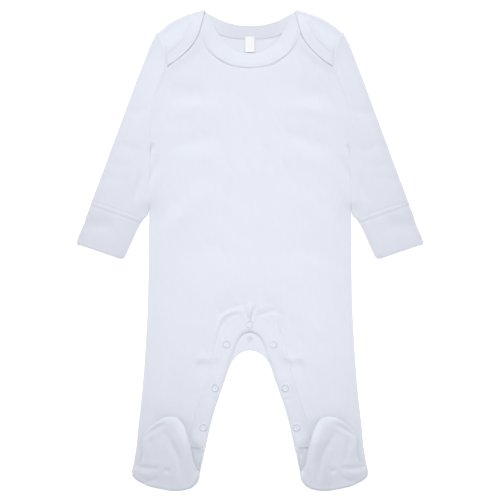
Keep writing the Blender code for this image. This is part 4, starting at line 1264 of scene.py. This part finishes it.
sole = lines_of(SOLE)
outline = np.vstack([sole["outer"], sole["inner"][::-1], sole["outer"][:1]])
sole_pairs = sections(((sole["outer"], sole["inner"]),), SOLE_GRID, SOLE_ROUND, SOLE_ROUND)
sole_plan = across(sole_pairs, SOLE_GRID, SOLE_ROUND, SOLE_ROUND)
heel_line = np.vstack([sole["outer"][HEEL_ROWS * LINE_STEPS:],
                       sole["inner"][HEEL_ROWS * LINE_STEPS:][::-1]])
sole_outer = raised(sole_plan, sole_bottom(sole_plan, outline, heel_line) + CLOTH
                    + unevenness(sole_plan, *SOLE_WAVES))
upper_ends = UPPER_ROWS * LINE_STEPS + 1
upper_pairs = sections(((sole["outer"][:upper_ends], sole["inner"][:upper_ends]),), GRID,
                       SOLE_ROUND, FLAT_ROUND)
inset = upper_pairs[:, 1] - upper_pairs[:, 0]
inset *= UPPER_INSET / np.linalg.norm(inset, axis=1, keepdims=True)
upper_pairs = upper_pairs + np.stack([inset, -inset], axis=1)
upper_plan = across(upper_pairs, GRID, SOLE_ROUND, SOLE_ROUND)
upper_outer = raised(upper_plan, upper_bottom(upper_plan) + CLOTH)
for side, sign in (("left", 1.0), ("right", -1.0)):
    for name, plain, level in (
            ("sole_", sole_outer, SOLE_LEVEL), ("foot_upper_", upper_outer, UPPER_LEVEL)):
        outer, facing = plain * (sign, 1.0, 1.0), -sign
        edges = edges_all_round(outer, SOLE_ROUND, level)
        piece = sheet_of("cloth_" + name + side, [(outer, facing, edges, outer[..., :2])], cotton)
        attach(piece, "root")
        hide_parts(name + side)

# ---- Snaps --------------------------------------------------------------------------------------
# White enamelled ring snaps, pressed through the front placket, and the socket half of the
# centre one, which shows on the back placket.
SNAP_RADIUS = 4.7
SNAP_SIDES = 48
SNAP_SINK = 0.05              # how far a ring sinks into the highest cloth under its rim
RIM_POINTS = 16               # points round the rim at which the cloth's height is taken
SOCKET_RADIUS = 3.4
SOCKET_Y = -106.6
SECTION_STEPS = 3             # points of a turned section for each gap of its table
# Radius as a share of the snap's, and height over the placket, for the ring and the socket.
RING_SECTION = ((1.0, -0.5), (1.0, 0.40), (0.975, 0.80), (0.92, 1.20), (0.85, 1.32), (0.78, 1.18),
                (0.735, 0.70), (0.715, 0.20), (0.69, -0.02), (0.6, 0.0), (0.4, 0.10), (0.2, 0.15),
                (0.0, 0.16))
SOCKET_SECTION = ((1.0, -0.4), (1.0, 0.05), (0.93, 0.22), (0.84, 0.32), (0.76, 0.34), (0.68, 0.28),
                  (0.62, 0.10), (0.58, 0.03), (0.5, 0.02), (0.3, 0.02), (0.0, 0.02))


def turned(name, section, radius, x, y, base, finish):
    """A turned piece: its section carried round a full circle and closed below."""
    profile = smooth(section, SECTION_STEPS) * (radius, 1.0)
    profile = np.vstack([[0.0, profile[0, 1]], profile])
    angle = full_turn(SNAP_SIDES)
    points = np.stack([x + profile[:, :1] * np.cos(angle), y + profile[:, :1] * np.sin(angle),
                       base + np.repeat(profile[:, 1:], len(angle), axis=1)], axis=-1)
    return make_piece(name, [(points, points[..., :2] - (x, y), 1)], finish)


ENAMEL_NOISE = (420.0, 2600.0, 900.0)     # cells a metre of its clouds, specks and waves
ENAMEL_DETAIL = 3.0
ENAMEL_TONE = (0.97, 0.06)    # least share of its color, and what the clouds add
ENAMEL_ROUGHNESS = (0.28, 0.2)      # at least, and what the specks add
ENAMEL_WAVE = 0.06            # height of its waves


def enamel(name, color):
    """Enamel baked on pressed metal: clouds a little darker than its color, finer clouds that
    make it less smooth, and the slight waves of a sprayed coat."""
    material, tree, place = new_finish(name)
    cloud, speck, wave = (noise(place, scale, ENAMEL_DETAIL) for scale in ENAMEL_NOISE)
    tinted = place.node("VectorMath", {"operation": "SCALE"},
                        {0: color, "Scale": ENAMEL_TONE[0] + cloud * ENAMEL_TONE[1]})
    coat = place.node("Bump", values={"Height": wave, "Strength": 0.4,
                                      "Distance": ENAMEL_WAVE * MM})
    shader = tree.nodes["Principled BSDF"].inputs
    tree.links.new(tinted.socket, shader["Base Color"])
    rough = ENAMEL_ROUGHNESS[0] + speck * ENAMEL_ROUGHNESS[1]
    tree.links.new(rough.socket, shader["Roughness"])
    tree.links.new(coat.socket, shader["Normal"])
    return material


ring_enamel = enamel("white_enamel", (0.77, 0.805, 0.865))
# The socket is white enamel like the rings. Its greyer colour is painted shade, for the shade it
# lies in under the front placket's edge.
socket_painted_shade = enamel("painted_shade_enamel", (0.70, 0.73, 0.79))
snap_places = [(name + ("" if x == 0.0 else "_left"), x, y) for name, x, y in SNAPS]
snap_places += [(name + "_right", -x, y) for name, x, y in SNAPS if x]
for name, x, y in snap_places:
    rim = np.linspace(0.0, 2.0 * np.pi, RIM_POINTS)[:, None]
    around = SNAP_RADIUS * np.hstack([np.cos(rim), np.sin(rim)]) + (x, y)
    base = float(placket_height(around).max()) - SNAP_SINK
    piece = turned("ring_snap_" + name, RING_SECTION, SNAP_RADIUS, x, y, base, ring_enamel)
    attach(piece, "root")
    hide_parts("snap_" + name)
socket = turned("socket", SOCKET_SECTION, SOCKET_RADIUS, 0.0, SOCKET_Y, CLOTH + SNAP_SINK,
                socket_painted_shade)
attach(socket, "root")
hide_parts("snap_socket")

# ---- Neck label ---------------------------------------------------------------------------------
# A small blank tab of white satin tape, caught in the seam of the back neck band.
LABEL_WIDTH = 12.0
LABEL_ENDS = (256.5, 236.8)
LABEL_THICKNESS = 0.5
LABEL_GRID = (19, 30)         # points over it and along it
LABEL_RISE = (0.75, 0.7)      # how far it stands off the back, and how much more its end curls up
LABEL_EDGE = (0.4, 0.5)
label_x = np.linspace(-LABEL_WIDTH / 2, LABEL_WIDTH / 2, LABEL_GRID[0])
label_y = np.linspace(*LABEL_ENDS, LABEL_GRID[1])
label_plan = np.stack(np.meshgrid(label_x, label_y), axis=-1)
curl = ((LABEL_ENDS[0] - label_plan[..., 1]) / (LABEL_ENDS[0] - LABEL_ENDS[1])) ** 2
label_outer = raised(label_plan, CLOTH + LABEL_RISE[0] + LABEL_RISE[1] * curl)
label_edges = edges_all_round(label_outer, *LABEL_EDGE)
satin = knit("satin_tape", (0.93, 0.93, 0.93), wale=0.4, course=0.3, relief=0.02, grain_and_shade=0.01)
cloth_label = sheet_of("satin_label", [(label_outer, -1, label_edges, label_plan)], satin,
                       LABEL_THICKNESS)
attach(cloth_label, "root")
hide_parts("neck_label")
